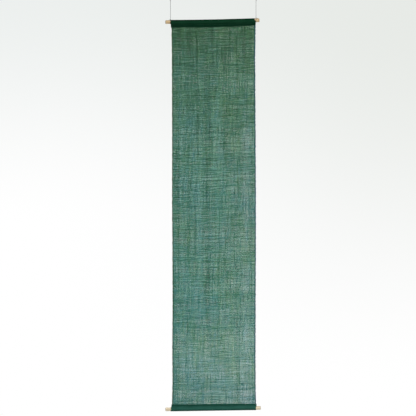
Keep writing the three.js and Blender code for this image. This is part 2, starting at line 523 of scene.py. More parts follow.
class Nodes:
    """A node tree, written as expressions."""

    def __init__(self, owner: bpy.types.Material | bpy.types.World) -> None:
        """Empties the owner's node tree.

        Args:
            owner: the material or world whose nodes these are.
        """
        owner.use_nodes = True
        self.tree = owner.node_tree
        self.tree.nodes.clear()

    def node(self, kind: str, settings: dict | None = None, inputs: dict | None = None) -> bpy.types.Node:
        """Adds one node.

        Args:
            kind: the node's type.
            settings: properties, set first.
            inputs: values or links by socket name or number.

        Returns:
            The node.
        """
        made = self.tree.nodes.new(kind)
        for name, value in (settings or {}).items():
            setattr(made, name, value)
        for name, value in (inputs or {}).items():
            self.feed(made.inputs[name], value)
        return made

    def value(self, kind: str, settings: dict | None = None, inputs: dict | None = None,
              output: int | str = 0) -> Value:
        """Adds one node and returns one of its outputs as a value."""
        return Value(self, self.node(kind, settings, inputs).outputs[output])

    def feed(self, socket: bpy.types.NodeSocket, value: object) -> None:
        """Links a value or socket to a socket, or sets it as a constant."""
        if isinstance(value, Value):
            self.tree.links.new(value.socket, socket)
        elif isinstance(value, bpy.types.NodeSocket):
            self.tree.links.new(value, socket)
        else:
            socket.default_value = value

    def blend(self, share: Value | float, first: object, second: object, how: str = "MIX") -> Value:
        """Mixes two colours by a share.

        Args:
            share: how much of the second.
            first: a colour or its socket.
            second: another.
            how: Blender's name for the kind of mix.

        Returns:
            The mixed colour.
        """
        settings = {"data_type": "RGBA", "blend_type": how}
        made = self.node("ShaderNodeMix", settings, {0: share, 6: first, 7: second})
        return Value(self, made.outputs[2])

    def grey(self, value: Value) -> Value:
        """A number as a grey colour."""
        return self.value("ShaderNodeCombineColor", None, {0: value, 1: value, 2: value})

    def scaled(self, colour: object, by: Value) -> Value:
        """A colour times a number."""
        return self.blend(1.0, colour, self.grey(by), "MULTIPLY")

    def stretched(self, vector: object, x: float, y: float, z: float) -> Value:
        """A vector with each part times its own factor."""
        settings = {"operation": "MULTIPLY"}
        return self.value("ShaderNodeVectorMath", settings, {0: vector, 1: (x, y, z)})

    def noise(self, vector: object, scale: float, detail: float = 2.0, rough: float = 0.5) -> Value:
        """Cloudy noise about 0.5."""
        inputs = {"Vector": vector, "Scale": scale, "Detail": detail, "Roughness": rough}
        return self.value("ShaderNodeTexNoise", None, inputs)

    def uv(self, name: str) -> Value:
        """A UV map of the piece's own."""
        return self.value("ShaderNodeUVMap", {"uv_map": name})

    def attribute(self, name: str, output: str = "Color") -> Value:
        """An attribute of the piece's own."""
        return self.value("ShaderNodeAttribute", {"attribute_name": name}, None, output)

    def parts(self, vector: Value) -> tuple[Value, Value, Value]:
        """A vector's three numbers."""
        made = self.node("ShaderNodeSeparateXYZ", None, {0: vector})
        return tuple(Value(self, made.outputs[k]) for k in range(3))

    def bump(self, height: Value, depth: float, strength: float = 1.0) -> Value:
        """A normal from a height, where 1 stands depth metres proud."""
        inputs = {"Height": height, "Distance": depth, "Strength": strength}
        return self.value("ShaderNodeBump", None, inputs)


class Shader(Nodes):
    """A material of one Principled shader, fed by nodes."""

    def __init__(self, name: str) -> None:
        """Makes the material with a Principled shader and its output.

        Args:
            name: the material's name.
        """
        self.material = bpy.data.materials.new(name)
        super().__init__(self.material)
        self.surface = self.node("ShaderNodeBsdfPrincipled")
        self.node("ShaderNodeOutputMaterial", inputs={0: self.surface.outputs[0]})

    def finish(self, **sockets: object) -> bpy.types.Material:
        """Feeds the Principled shader, with _ in a name for a space, and returns the material."""
        for name, value in sockets.items():
            self.feed(self.surface.inputs[name.replace("_", " ")], value)
        return self.material


@dataclass(frozen=True)
class RamieFinish:
    """Bare ramie yarn: its dye comes from the piece, its fibres and twist from here."""

    twist_length: float = 2.6
    ply_slant: float = 0.9
    ply_tone: float = 0.05
    fibre_tone: float = 0.22
    edge_shade: float = 0.3
    dullness: float = 0.6
    round_depth: float = 0.00007
    lustre: float = 0.3

    def material(self) -> bpy.types.Material:
        """The yarn material, on the map "yarn": across 0..1, along in millimetres.

        Returns:
            The material.
        """
        s = Shader("ramie_yarn")
        across, along, _ = s.parts(s.uv("yarn"))
        from_middle = (across * 2.0 - 1.0).size()
        fibres = s.noise(s.stretched(s.uv("yarn"), 3.2, 0.16, 1.0), 1.0, 2.0, 0.6)
        ply = ((along / self.twist_length + across * self.ply_slant) * TURN).sin()
        shade = 1.0 - (from_middle ** 3.0) * self.edge_shade
        tone = (fibres - 0.5) * (2.0 * self.fibre_tone) + ply * self.ply_tone + 1.0
        height = 1.0 - from_middle ** 2.0 + fibres * 0.5 + ply * 0.25
        return s.finish(
            Base_Color=s.scaled(s.attribute("dye"), tone * shade),
            Roughness=fibres * 0.25 + self.dullness,
            Normal=s.bump(height, self.round_depth),
            Specular_IOR_Level=self.lustre,
        )


@dataclass(frozen=True)
class HeadingFinish:
    """Dense green cloth: a fine even weave, faint slubs, a painted highlight across the fold's front and
    painted shade along the hem.
    """

    name: str
    dye: Colour
    pale: Colour
    thread: float = 0.55
    weave_depth: float = 0.00012
    slub_fade: float = 1.1
    end_fade: float = 0.6
    cloud_fade: float = 0.8
    painted_light_fade: float = 0.75
    even_fade: float = 0.12
    weave_tone: float = 0.12
    dullness: float = 0.78
    lustre: float = 0.03

    def material(self) -> bpy.types.Material:
        """The heading's material, on the map "cloth": along and round in millimetres.

        Returns:
            The material.
        """
        s = Shader(self.name)
        place = s.uv("cloth")
        along, around, _ = s.parts(place)
        over = (along * (math.pi / self.thread)).sin() * (around * (math.pi / self.thread)).sin()
        slubs = s.noise(s.stretched(place, 0.035, 1.1, 1.0), 1.0, 3.0, 0.55)
        ends = s.noise(s.stretched(place, 1.3, 0.05, 1.0), 1.0, 2.0, 0.5)
        clouds = s.noise(s.stretched(place, 0.03, 0.06, 1.0), 1.0, 2.0, 0.5)
        # painted light: the attribute paints a highlight across the front of the fold and shade along the
        # hem, blending the dye towards pale
        wear = s.attribute("wear", "Fac")
        uneven = (slubs - 0.5) * self.slub_fade + (ends - 0.5) * self.end_fade
        faded = uneven + (clouds - 0.5) * self.cloud_fade + wear * self.painted_light_fade + self.even_fade
        base = s.blend(faded.most(0.0).least(1.0), (*self.dye, 1.0), (*self.pale, 1.0))
        return s.finish(
            Base_Color=s.scaled(base, over * self.weave_tone + 0.95),
            Roughness=slubs * 0.2 + self.dullness,
            Normal=s.bump(over * 0.5 + slubs * 0.8 + ends * 0.3, self.weave_depth),
            Specular_IOR_Level=self.lustre,
        )


@dataclass(frozen=True)
class ThreadFinish:
    """Sewing thread: two plies that show as a fine slant."""

    dye: Colour = (0.018, 0.066, 0.036)
    slant: float = 0.5

    def material(self) -> bpy.types.Material:
        """The thread's material, on the map "yarn": around 0..1, along in millimetres.

        Returns:
            The material.
        """
        s = Shader("sewing_thread")
        around, along, _ = s.parts(s.uv("yarn"))
        ply = ((along / self.slant + around) * TURN).sin()
        fibres = s.noise(s.stretched(s.uv("yarn"), 6.0, 0.8, 1.0), 1.0)
        return s.finish(
            Base_Color=s.scaled((*self.dye, 1.0), ply * 0.18 + fibres * 0.4 + 0.8),
            Roughness=fibres * 0.2 + 0.5,
            Normal=s.bump(ply, 0.00004),
        )


@dataclass(frozen=True)
class WoodFinish:
    """Pale sanded softwood: growth rings about a pith off to one side, and long fibres."""

    name: str
    early: Colour
    late: Colour
    ring: float = 2.1
    pith: tuple[float, float] = (11.0, 17.0)
    ring_wander: float = 5.0
    late_share: float = 0.75
    fibre_tone: float = 0.42
    soil_tone: float = 0.34
    fleck_tone: float = 0.22
    wear_tone: float = 0.28
    dullness: float = 0.27
    fibre_dullness: float = 0.22
    wear_dullness: float = 0.2

    def material(self) -> bpy.types.Material:
        """The wood, on "stock": along the dowel, to the back and up, in millimetres.

        Returns:
            The material.
        """
        s = Shader(self.name)
        stock = s.attribute("stock", "Vector")
        _, back, up = s.parts(stock)
        wander = s.noise(s.stretched(stock, 0.012, 0.05, 0.05), 1.0, 2.0, 0.5)
        from_pith = ((back + self.pith[0]) ** 2.0 + (up + self.pith[1]) ** 2.0) ** 0.5
        layer = ((from_pith + wander * self.ring_wander) / self.ring).math("FRACT")
        late = layer.rise(0.25, 0.92) * (1.0 - layer.rise(0.93, 1.0))
        fibres = s.noise(s.stretched(stock, 0.035, 2.4, 2.4), 1.0, 3.0, 0.65)
        flecks = s.noise(s.stretched(stock, 0.22, 5.0, 5.0), 1.0, 1.0, 0.5).rise(0.68, 0.76)
        soil = s.noise(s.stretched(stock, 0.05, 0.12, 0.12), 1.0, 3.0, 0.6)
        base = s.blend(late * self.late_share, (*self.early, 1.0), (*self.late, 1.0))
        worn_and_lit = s.attribute("wear", "Fac")
        tone = (fibres - 0.5) * self.fibre_tone + (soil - 0.5) * self.soil_tone + 1.0
        tone = tone - flecks * self.fleck_tone - worn_and_lit * self.wear_tone
        return s.finish(
            Base_Color=s.scaled(base, tone),
            Roughness=fibres * self.fibre_dullness + self.dullness + worn_and_lit * self.wear_dullness,
            Normal=s.bump(fibres * 0.7 + late * 0.3 - flecks * 0.6, 0.00006),
            Specular_IOR_Level=0.5,
        )


@dataclass(frozen=True)
class StringFinish:
    """Grey two-ply string: painted shade in the groove between its plies, hairy fibres along it."""

    name: str
    dye: Colour
    fibre_tone: float = 0.5
    dust_tone: float = 0.4
    groove_shade: float = 0.45
    dullness: float = 0.7

    def material(self) -> bpy.types.Material:
        """The string, on the map "yarn": around 0..1 with the plies, along in millimetres.

        Returns:
            The material.
        """
        s = Shader(self.name)
        place = s.uv("yarn")
        around, along, _ = s.parts(place)
        # painted shade: darker in the groove between the two plies
        groove = ((around * TURN).sin().size()) ** 4.0
        fibres = s.noise(s.stretched(place, 9.0, 0.7, 1.0), 1.0, 3.0, 0.6)
        dust = s.noise(s.stretched(place, 1.0, 0.09, 1.0), 1.0, 2.0, 0.5)
        tone = (fibres - 0.5) * self.fibre_tone + (dust - 0.5) * self.dust_tone + 1.05
        tone = tone - groove * self.groove_shade
        return s.finish(
            Base_Color=s.scaled((*self.dye, 1.0), tone),
            Roughness=fibres * 0.2 + self.dullness,
            Normal=s.bump(fibres, 0.00005),
            Specular_IOR_Level=0.2,
        )


@dataclass(frozen=True)
class FloorFinish:
    """Plain pale floor with a faint mottle."""

    tint: Colour = (0.82, 0.83, 0.82)

    def material(self) -> bpy.types.Material:
        """The floor's material, on Object coordinates.

        Returns:
            The material.
        """
        s = Shader("pale_floor")
        place = s.value("ShaderNodeTexCoord", None, None, "Object")
        mottle = s.noise(place, 2.5, 3.0)
        return s.finish(Base_Color=s.scaled((*self.tint, 1.0), mottle * 0.06 + 0.97), Roughness=0.9)


@dataclass(frozen=True)
class Axis:
    """A dowel's axis: its height is level + slope x + sag (x / half the strings' distance)^2."""

    level: float
    slope: float
    sag: float
    left: float
    right: float

    def height(self, x: Array) -> Array:
        """The axis's height at x."""
        return self.level + self.slope * x + self.sag * (x / (STRING_APART / 2)) ** 2

    def directions(self, x: Array) -> tuple[Array, Array]:
        """The unit vectors along the axis and square to it, upwards, at x.

        Args:
            x: places across.

        Returns:
            Both, as arrays of vectors.
        """
        climb = self.slope + 2 * self.sag * x / (STRING_APART / 2) ** 2
        along = unit(np.stack([np.ones_like(x), np.zeros_like(x), climb], -1))
        return along, np.stack([-along[..., 2], along[..., 1], along[..., 0]], -1)

    def point(self, x: Array) -> Array:
        """The axis's point at x."""
        return np.stack([x, np.zeros_like(x), self.height(x)], -1)


TOP_AXIS = Axis(level=-121.0, slope=0.0205, sag=1.3, left=-196.2, right=189.2)
BOTTOM_AXIS = Axis(level=-1708.0, slope=0.015, sag=0.0, left=-196.0, right=194.7)


@dataclass(frozen=True)
class Drape:
    """Where the cloth hangs: its long edges by height, its ends and its slow waves.

    waves are rows of depth, height, breadth and start, and strays of depth, run and start.
    """

    tuck: float = 13.2
    rest_per_end: float = 60.0
    heights: tuple = (-1700, -1590, -1470, -1260, -1060, -850, -650, -400, -280, -130)
    left: tuple = (-168.9, -166.9, -167.7, -166.5, -167.2, -168.6, -168.4, -168.9, -169.3, -170.8)
    right: tuple = (175.0, 173.6, 173.4, 173.9, 174.9, 175.0, 174.1, 172.8, 172.2, 174.2)
    waves: tuple = ((1.7, 930, 760, 0.4), (0.9, 410, -520, 2.1), (0.5, 185, 330, 4.0))
    row: float = 7.2
    width: float = 342.0
    scallop_depth: float = 1.1
    scallop_reach: float = 7.0
    scallop_swell: tuple = ((0.0, 0.2, 0.5, 1.0), (1.7, 1.5, 0.9, 0.8))
    strays: tuple = ((0.2, 47.0, 0.7), (0.22, 29.0, 2.9), (0.16, 21.0, 5.1), (0.12, 12.7, 1.3))

    def top(self, x: Array) -> Array:
        """The height of the cloth's upper edge."""
        return TOP_AXIS.height(x) - self.tuck

    def bottom(self, x: Array) -> Array:
        """The height of the cloth's lower edge."""
        return BOTTOM_AXIS.height(x) + self.tuck

    def size(self) -> tuple[float, float]:
        """The cloth's width and length, in the middle of the other."""
        return self.width, float(self.top(0.0) - self.bottom(0.0))

    def scallop(self, v: Array) -> Array:
        """How far the right edge draws in: depth s (1 - cos(pi row + a sin(b row))) / 2.

        s swells and fades from row to row, and down the cloth.

        Args:
            v: share down, from the upper edge.

        Returns:
            Millimetres inwards.
        """
        row = v * round(self.size()[1] / self.row)
        swell = (0.65 + 0.35 * np.sin(0.37 * row)) * eased(v, *self.scallop_swell)
        phase = np.pi * row + 0.9 * np.sin(0.23 * row)
        return self.scallop_depth * swell * (0.5 - 0.5 * np.cos(phase))

    def point(self, u: Array, v: Array, proud: Array | float = 0.0) -> Array:
        """The cloth's point at u across and v down, both 0..1.

        x runs from edge to edge, where the scallops and strays fade inwards, and z from
        the upper edge to the lower one. y is the sum of depth
        sin(2 pi (z / height + x / breadth) + start), held still at both ends.

        Args:
            u: share across, from the left edge.
            v: share down, from the upper edge.
            proud: how far behind the cloth's middle the point lies.

        Returns:
            Points in millimetres.
        """
        level = self.top(0.0) + v * (self.bottom(0.0) - self.top(0.0))
        left = eased(level, self.heights, self.left)
        right = eased(level, self.heights, self.right)
        x = left + u * (right - left)
        down = v * self.size()[1]
        stray = sum(d * np.sin(TURN * down / run + start) for d, run, start in self.strays)
        x = x - (self.scallop(v) + stray) * np.exp(-np.maximum(right - x, 0.0) / self.scallop_reach)
        milder, longer = 0.8, 1.13
        stray = sum(milder * d * np.sin(TURN * down / (run * longer) - start)
                    for d, run, start in self.strays)
        x = x + stray * np.exp(-np.maximum(x - left, 0.0) / self.scallop_reach)
        top, bottom = self.top(x), self.bottom(x)
        z = top + v * (bottom - top)
        held = smooth((top - z) / self.rest_per_end) * smooth((z - bottom) / self.rest_per_end)
        wave = sum(d * np.sin(TURN * (z / tall + x / broad) + start)
                   for d, tall, broad, start in self.waves)
        y = held * wave + proud
        return np.stack(np.broadcast_arrays(x, y, z), -1)


@dataclass(frozen=True)
class Dye:
    """The panel's colours, linear: its ground by height, paler towards the bottom partly by painted light,
    and the dark yarns of its edges.
    """

    heights: tuple = (-1700.0, -1560.0, -1300.0, -900.0, -400.0, -180.0)
    # Paler towards the bottom: partly the cloth's own colour, partly painted light that the lamps don't give.
    ground: tuple = (
        (0.060, 0.194, 0.156),
        (0.084, 0.235, 0.186),
        (0.053, 0.190, 0.136),
        (0.040, 0.152, 0.106),
        (0.034, 0.122, 0.075),
        (0.020, 0.085, 0.039),
    )
    deepening: Colour = (1.6, 1.0, 1.2)
    olive: Colour = (0.13, 0.01, -0.46)
    tones: tuple[float, float] = (-1.25, 0.85)
    least_turned: float = 0.2
    brown: Colour = (0.105, 0.085, 0.045)
    brown_share: float = 0.8
    brown_ease: float = 0.5
    left_edge: Colour = (0.022, 0.060, 0.022)
    right_edge: Colour = (0.004, 0.036, 0.072)
    left_turns: Colour = (0.105, 0.120, 0.055)
    right_turns: Colour = (0.006, 0.100, 0.200)

    def colour(self, z: Array, tone: Array, hue: Array) -> Array:
        """ground(z) e^(deepening tone), each part times 1 + hue olive, with tone held to tones.

        Args:
            z: heights.
            tone: how much paler, as a power of e.
            hue: 1 is full olive and -1 full teal.

        Returns:
            One linear colour a place.
        """
        ground = eased(z, self.heights, self.ground)
        turned = np.maximum(1.0 + hue[..., None] * np.array(self.olive), self.least_turned)
        held = np.clip(tone, *self.tones)
        return ground * np.exp(held[..., None] * np.array(self.deepening)) * turned

    def tinted(self, colour: Array, tone: Array) -> Array:
        """A dark yarn's colour times e^(tone / 2)."""
        return colour * np.exp(0.5 * tone)[..., None]

    def browned(self, dye: Array, over: Array) -> Array:
        """The dye, four fifths of the way to brown where a yarn's own random line is over 0."""
        share = self.brown_share * smooth(over / self.brown_ease)[..., None]
        return dye * (1 - share) + np.array(self.brown) * share


@dataclass(frozen=True)
class Slub:
    """A spot of the weft that is thick or thin, dark or pale: its place, its reach and its tone."""

    x: float
    z: float
    reach: float
    height: float
    tone: float

    def share(self, points: Array) -> Array:
        """How much of it there is at each point: e^-((dx / reach)^2 + (dz / height)^2).

        Args:
            points: places on the cloth.

        Returns:
            Shares from 0 to 1.
        """
        across = (points[..., 0] - self.x) / self.reach
        down = (points[..., 2] - self.z) / self.height
        return np.exp(-(across ** 2 + down ** 2))


@dataclass(frozen=True)
class Band:
    """A long strip of the cloth whose yarns are darker, bluer or thinner than the rest.

    Its share is e^-((x - x0) / reach)^2, eased in below upper and out above lower.
    """

    x: float
    reach: float
    upper: float
    lower: float
    tone: float
    hue: float = 0.0
    dense: float = 0.0
    ease_in: float = 60.0
    ease_out: float = 150.0

    def share(self, points: Array) -> Array:
        """How much of the band there is at each point, from 0 to 1.

        Args:
            points: places on the cloth.

        Returns:
            Shares from 0 to 1.
        """
        x, z = points[..., 0], points[..., 2]
        held = smooth((self.upper - z) / self.ease_in) * smooth((z - self.lower) / self.ease_out)
        return held * np.exp(-(((x - self.x) / self.reach) ** 2))


@dataclass(frozen=True)
class Streaks:
    """Streaks that neighbouring yarns share, and what they do to tone and width.

    They have so many knots along a yarn. Neighbours agree within `narrow` yarns, and
    what they share over `wide` ones is taken away.
    """

    knots: float
    narrow: float
    wide: float
    tone: float
    thinner: float = 0.0

    def lines(self, chance: Chance, rows: int, nodes: int) -> Array:
        """The streaks on so many yarns, with unit spread."""
        return chance.streaks(rows, nodes, self.knots, self.narrow, self.wide)


@dataclass(frozen=True)
class Yarn:
    """How the yarns of one direction stray, swell and vary in tone and hue.

    strays, swells and tones are drifts: each a weight, and its knots along the yarn.
    """

    width: float
    widest: float
    strays: tuple
    swells: tuple
    slub_count: int
    slub_reach: float
    slub_tone: float
    streaks: tuple[Streaks, Streaks]
    tone_each: float
    tones: tuple
    hues: Streaks
    brown_knots: float
    brown_above: float
    thinnest: float = 0.5
    mean_swell: float = 1.06
    width_each: float = 0.05
    slub_swell: float = 0.35
    hue_each: float = 0.06

    def wide(self, swell: Array) -> Array:
        """The yarn's width where it swells by a power of e."""
        return self.width * np.clip(np.exp(swell) / self.mean_swell, self.thinnest, self.widest)


WEFT_YARN = Yarn(
    width=1.2, widest=1.75,
    strays=((0.09, 5), (0.05, 12)), swells=((0.07, 9),),
    slub_count=2, slub_reach=0.05, slub_tone=0.35,
    streaks=(Streaks(10, 1.1, 4.0, tone=0.12, thinner=0.04), Streaks(15, 0.7, 2.0, tone=0.42, thinner=0.07)),
    tone_each=0.08, tones=((0.1, 8), (0.1, Chance.EVERY_NODE)),
    hues=Streaks(9, 1.2, 5.0, tone=0.18), brown_knots=14, brown_above=2.5,
)
WARP_YARN = Yarn(
    width=1.18, widest=1.7,
    strays=((0.1, 12), (0.06, 60)), swells=((0.06, 40),),
    slub_count=9, slub_reach=0.013, slub_tone=0.2,
    streaks=(Streaks(44, 1.0, 3.6, tone=0.12, thinner=0.045), Streaks(5, 2.5, 10.0, tone=0.07, thinner=0.02)),
    tone_each=0.04, tones=((0.06, 40), (0.14, 260)),
    hues=Streaks(34, 1.2, 5.0, tone=0.18), brown_knots=60, brown_above=2.6,
)


@dataclass
class Panel:
    """The sheer panel: one weft that runs to and fro through all its warp ends."""

    drape: Drape = field(default_factory=Drape)
    dye: Dye = field(default_factory=Dye)
    pitch: float = 1.5
    uneven_pitch: tuple = (0.05, 0.05, 0.06)
    denser_above: float = 0.09
    denser: float = 0.09
    sheerer_right: float = 0.045
    darker: float = 0.03
    paler_right: float = 0.06
    olive_right: float = 0.24
    over: float = 0.22
    pick_layer: float = 0.03
    edge_ends: int = 5
    edge_pitch: float = 0.95
    edge_inset: float = 0.65
    edge_share: float = 0.92
    weft_nodes: int = 57
    weft_inset: float = 0.3
    turn_nodes: int = 6
    level_from_ends: float = 30.0
    straight_from_edges: float = 12.0
    edge_loose: float = 0.15
    edge_swell: float = 0.3
    turn_reach: float = 0.8
    turn_width: float = 0.8
    mark_swell: float = 0.35
    pick_waves: tuple = ((1.3, 260.0, 120.0), (0.45, 90.0, 22.0))
    fan: tuple = (2.4, 38.0, 100.0, 34.0)
    end_waves: tuple = ((0.4, 60.0, 260.0), (0.2, 16.0, 110.0))
    tone_clouds: tuple = ((0.035, 80.0, 90.0), (0.03, 26.0, 30.0))
    hue_clouds: tuple = ((0.12, 55.0, 75.0), (0.1, 20.0, 26.0))
    lively_at: tuple = (-1600.0, -1100.0, -650.0, -200.0)
    lively: tuple = (1.0, 1.32, 1.92, 1.78)
    warp_pieces: tuple = ("warp_left", "warp_middle", "warp_right")
    map_columns: int = 3
    seed: int = 7
    weft_slubs: tuple = (
        Slub(-158, -172, 16, 3.0, -0.7),
        Slub(-160, -181, 14, 3.0, -0.6),
        Slub(-120, -296, 36, 3.2, -0.75),
        Slub(-150, -190, 40, 2.0, -0.3),
        Slub(152, -192, 24, 3.0, -0.55),
        Slub(150, -206, 20, 2.6, -0.4),
        Slub(152, -150, 24, 9.0, -0.3),
        Slub(150, -340, 34, 26.0, -0.16),
        Slub(60, -422, 22, 30.0, 0.12),
        Slub(132, -625, 46, 34.0, 0.10),
        Slub(52, -1345, 30, 30.0, -0.13),
        Slub(160, -1345, 16, 26.0, -0.13),
        Slub(134, -1550, 16, 26.0, -0.12),
        Slub(-62.5, -1578, 5.0, 4.2, -0.9),
        Slub(-50, -1648, 5.0, 4.2, -0.8),
        Slub(118, -1607, 5.0, 5.0, -0.9),
    )
    bands: tuple = (
        # The first band is painted shade: the shadow of a soft vertical fold, given as darker, denser yarns.
        Band(-27, 10, -160, -1440, -0.20, hue=0.1, dense=0.08),
        Band(-58, 11, -440, -1300, 0.14),
        Band(-84, 9, -460, -1080, 0.10),
        Band(-130, 9, -300, -1500, 0.14),
        Band(-158, 11, -100, -540, -0.13),
        Band(-160, 12, -1120, -1900, -0.17, hue=-0.1, dense=0.06),
        Band(0, 9, -420, -860, 0.19),
        Band(24, 11, -380, -1080, 0.13),
        Band(88, 16, -640, -1400, -0.05),
        Band(134, 20, -450, -1900, -0.03, hue=-0.16, dense=-0.09),
        Band(-141, 4, -100, -330, -0.35),
        Band(-95, 3, -100, -330, -0.30),
        Band(30, 12, -120, -460, 0.06, hue=0.15),
    )

    def __post_init__(self) -> None:
        """Sets out the yarns' nominal places: u of each warp end and v of each pick."""
        self.chance = Chance(self.seed)
        drifting, end_spread, pick_spread = self.uneven_pitch
        width, length = self.drape.size()
        edge = self.edge_inset + self.edge_pitch * np.arange(self.edge_ends)
        first = edge[-1] + (self.pitch + self.edge_pitch) / 2
        count = round((width - 2 * first) / self.pitch) + 1
        gaps = drifting * self.chance.drift(1, count - 1, 15)[0]
        gaps = np.exp(gaps + end_spread * self.chance.spread(count - 1))
        inner = np.concatenate([[0.0], np.cumsum(gaps)])
        inner = first + inner / inner[-1] * (width - 2 * first)
        self.warp_u = np.concatenate([edge, inner, width - edge[::-1]]) / width
        picks = round(length / self.pitch)
        spans = drifting * self.chance.drift(1, picks, 40)[0]
        spans = np.exp(spans + pick_spread * self.chance.spread(picks))
        steps = np.concatenate([[0.0], np.cumsum(spans)])
        self.weft_v = (steps[:-1] + 0.5 * spans) / steps[-1]
        self.width, self.length = width, length

    def weft_shift(self, u: Array, v: Array) -> Array:
        """How far the picks near a place lie off their level, in millimetres.

        Args:
            u: share across.
            v: share down.

        Returns:
            Millimetres down.
        """
        still = Chance(self.seed + 10)
        x, z = u * self.width, v * self.length
        slow = still.fields(x, z, self.pick_waves)
        depth, fade, across, down = self.fan
        fan = depth * np.exp(-x / fade) * still.field(0 * x, z, across, down)
        held = smooth(z / self.level_from_ends) * smooth((self.length - z) / self.level_from_ends)
        return (slow + fan) * held

    def warp_shift(self, u: Array, v: Array) -> Array:
        """How far the warp ends near a place lie off their line, in millimetres.

        Args:
            u: share across.
            v: share down.

        Returns:
            Millimetres to the right.
        """
        still = Chance(self.seed + 20)
        x, z = u * self.width, v * self.length
        inside = smooth(x / self.straight_from_edges) * smooth((self.width - x) / self.straight_from_edges)
        return still.fields(x, z, self.end_waves) * inside

    def clouds(self, x: Array, z: Array) -> tuple[Array, Array]:
        """The cloth's own clouds of tone and hue at x and z.

        Args:
            x: places across.
            z: heights.

        Returns:
            The tone and the hue that they add.
        """
        still = Chance(self.seed + 30)
        tone = still.fields(x, z, self.tone_clouds)
        hue = still.fields(x, z, self.hue_clouds)
        return tone + self.paler_right * x / self.width, hue + self.olive_right * x / self.width

    def density(self, points: Array) -> Array:
        """How much wider the yarns are, as a power of e: more above, less at the right.

        Args:
            points: places on the cloth.

        Returns:
            One number a place.
        """
        above = 1 + 2 * points[..., 2] / self.length
        aside = 2 * points[..., 0] / self.width
        smooth_part = self.denser + self.denser_above * above - self.sheerer_right * aside
        return smooth_part + self.banded(points, Trait.DENSE)

    def banded(self, points: Array, trait: Trait) -> Array:
        """The sum over the bands of one trait, each by its share."""
        marked = [(getattr(band, trait.value), band) for band in self.bands]
        return sum(amount * band.share(points) for amount, band in marked if amount)

    def marked(self, points: Array) -> Array:
        """The sum over the weft's slubs of their tone, each by its share."""
        return sum(slub.tone * slub.share(points) for slub in self.weft_slubs)

    def swell(self, yarn: Yarn, middles: Array, streaks: Sequence[Array], slubs: Array) -> Array:
        """How much wider each node is, as a power of e.

        Args:
            yarn: the direction's yarn.
            middles: the nodes.
            streaks: the yarn's streaks, over at least these nodes.
            slubs: the thick places.

        Returns:
            One number a node.
        """
        rows, nodes = middles.shape[:2]
        swell = yarn.width_each * self.chance.spread(rows, 1) + self.chance.varied(rows, nodes, yarn.swells)
        swell = swell + yarn.slub_swell * slubs + self.density(middles)
        return swell - sum(kind.thinner * lines[:, :nodes] for kind, lines in zip(yarn.streaks, streaks))

    def dyed(self, yarn: Yarn, middles: Array, streaks: Sequence[Array], own: Array) -> tuple[Array, Array]:
        """The yarns' dye: (each yarn's own tone + drifts + streaks) liveliness + clouds + bands + own.

        Args:
            yarn: the direction's yarn.
            middles: the nodes.
            streaks: the yarn's streaks.
            own: what slubs and marks add to the tone.

        Returns:
            The tone and the colour of each node.
        """
        chance, (rows, nodes) = self.chance, middles.shape[:2]
        tone = yarn.tone_each * chance.spread(rows, 1) + chance.varied(rows, nodes, yarn.tones)
        tone = tone + sum(kind.tone * heavy(lines) for kind, lines in zip(yarn.streaks, streaks))
        tone = tone * eased(middles[..., 2], self.lively_at, self.lively)
        cloud_tone, cloud_hue = self.clouds(middles[..., 0], middles[..., 2])
        tone = tone + cloud_tone - self.darker + self.banded(middles, Trait.TONE) + own
        hue = cloud_hue + self.banded(middles, Trait.HUE) + yarn.hue_each * chance.spread(rows, 1)
        hue = hue + yarn.hues.tone * yarn.hues.lines(chance, rows, nodes)
        dye = self.dye.colour(middles[..., 2], tone, hue)
        return tone, self.dye.browned(dye, chance.drift(rows, nodes, yarn.brown_knots) - yarn.brown_above)

    def halves(self, middles: Array, widths: Array) -> Array:
        """Half a ribbon's width, square to its run and in the plane of the cloth.

        Args:
            middles: the nodes.
            widths: the whole width at each.

        Returns:
            One vector a node.
        """
        run = unit(np.gradient(middles, axis=1) * np.array([1.0, 0.0, 1.0]))
        square = np.stack([-run[..., 2], run[..., 1], run[..., 0]], -1)
        return square * (widths / 2)[..., None]

    def turns(self, middles: Array, back_way: Array) -> Array:
        """The weft's half turns at the edges, from each pick's last node to the next pick's first.

        A turn is x + reach sin(pi t), with z from pick to pick by (1 - cos(pi t)) / 2.

        Args:
            middles: the picks' nodes.
            back_way: which picks run from right to left.

        Returns:
            Points (pick, turn node, 3).
        """
        t = np.arange(1, self.turn_nodes + 1)[None, :, None] / self.turn_nodes
        ends = middles[:, -1:]
        following = np.concatenate([middles[1:, :1], middles[-1:, -1:]])
        eased_on = (1 - np.cos(np.pi * t)) / 2
        reach = np.where(back_way, -self.turn_reach, self.turn_reach)[:, None, None]
        out = np.array([1.0, 0.0, 0.0]) * reach
        return ends + (following - ends) * eased_on + out * np.sin(np.pi * t)

    def weft(self) -> Piece:
        """The weft: each pick from edge to edge, then round in a half turn to the next.

        A pick's middle is the cloth's point at its v, moved by the shared shift and by
        its own drift.

        Returns:
            The weft's piece, with its maps and dye but no material.
        """
        yarn, chance = WEFT_YARN, self.chance
        picks, nodes = len(self.weft_v), self.weft_nodes
        total = nodes + self.turn_nodes
        inset = self.weft_inset / self.width
        u = np.broadcast_to(np.linspace(inset, 1 - inset, nodes), (picks, nodes))
        v = self.weft_v[:, None] + 0 * u
        shift = self.weft_shift(u, v) + chance.varied(picks, nodes, yarn.strays)
        layer = self.pick_layer * (1 - 2 * (np.arange(picks)[:, None] % 2))
        middles = self.drape.point(u, v + shift / self.length, layer)
        back_way = np.arange(picks) % 2 == 1
        middles[back_way] = middles[back_way][:, ::-1]

        slubs = chance.slubs(picks, nodes, yarn.slub_count, yarn.slub_reach)
        streaks = [kind.lines(chance, picks, total) for kind in yarn.streaks]
        swell = self.swell(yarn, middles, streaks, slubs)
        widths = yarn.wide(swell - self.mark_swell * self.marked(middles))
        widths = np.concatenate([widths, np.full((picks, self.turn_nodes), self.turn_width)], 1)
        middles = np.concatenate([middles, self.turns(middles, back_way)], 1)
        shape = Shape.ribbons(middles, self.halves(middles, widths))

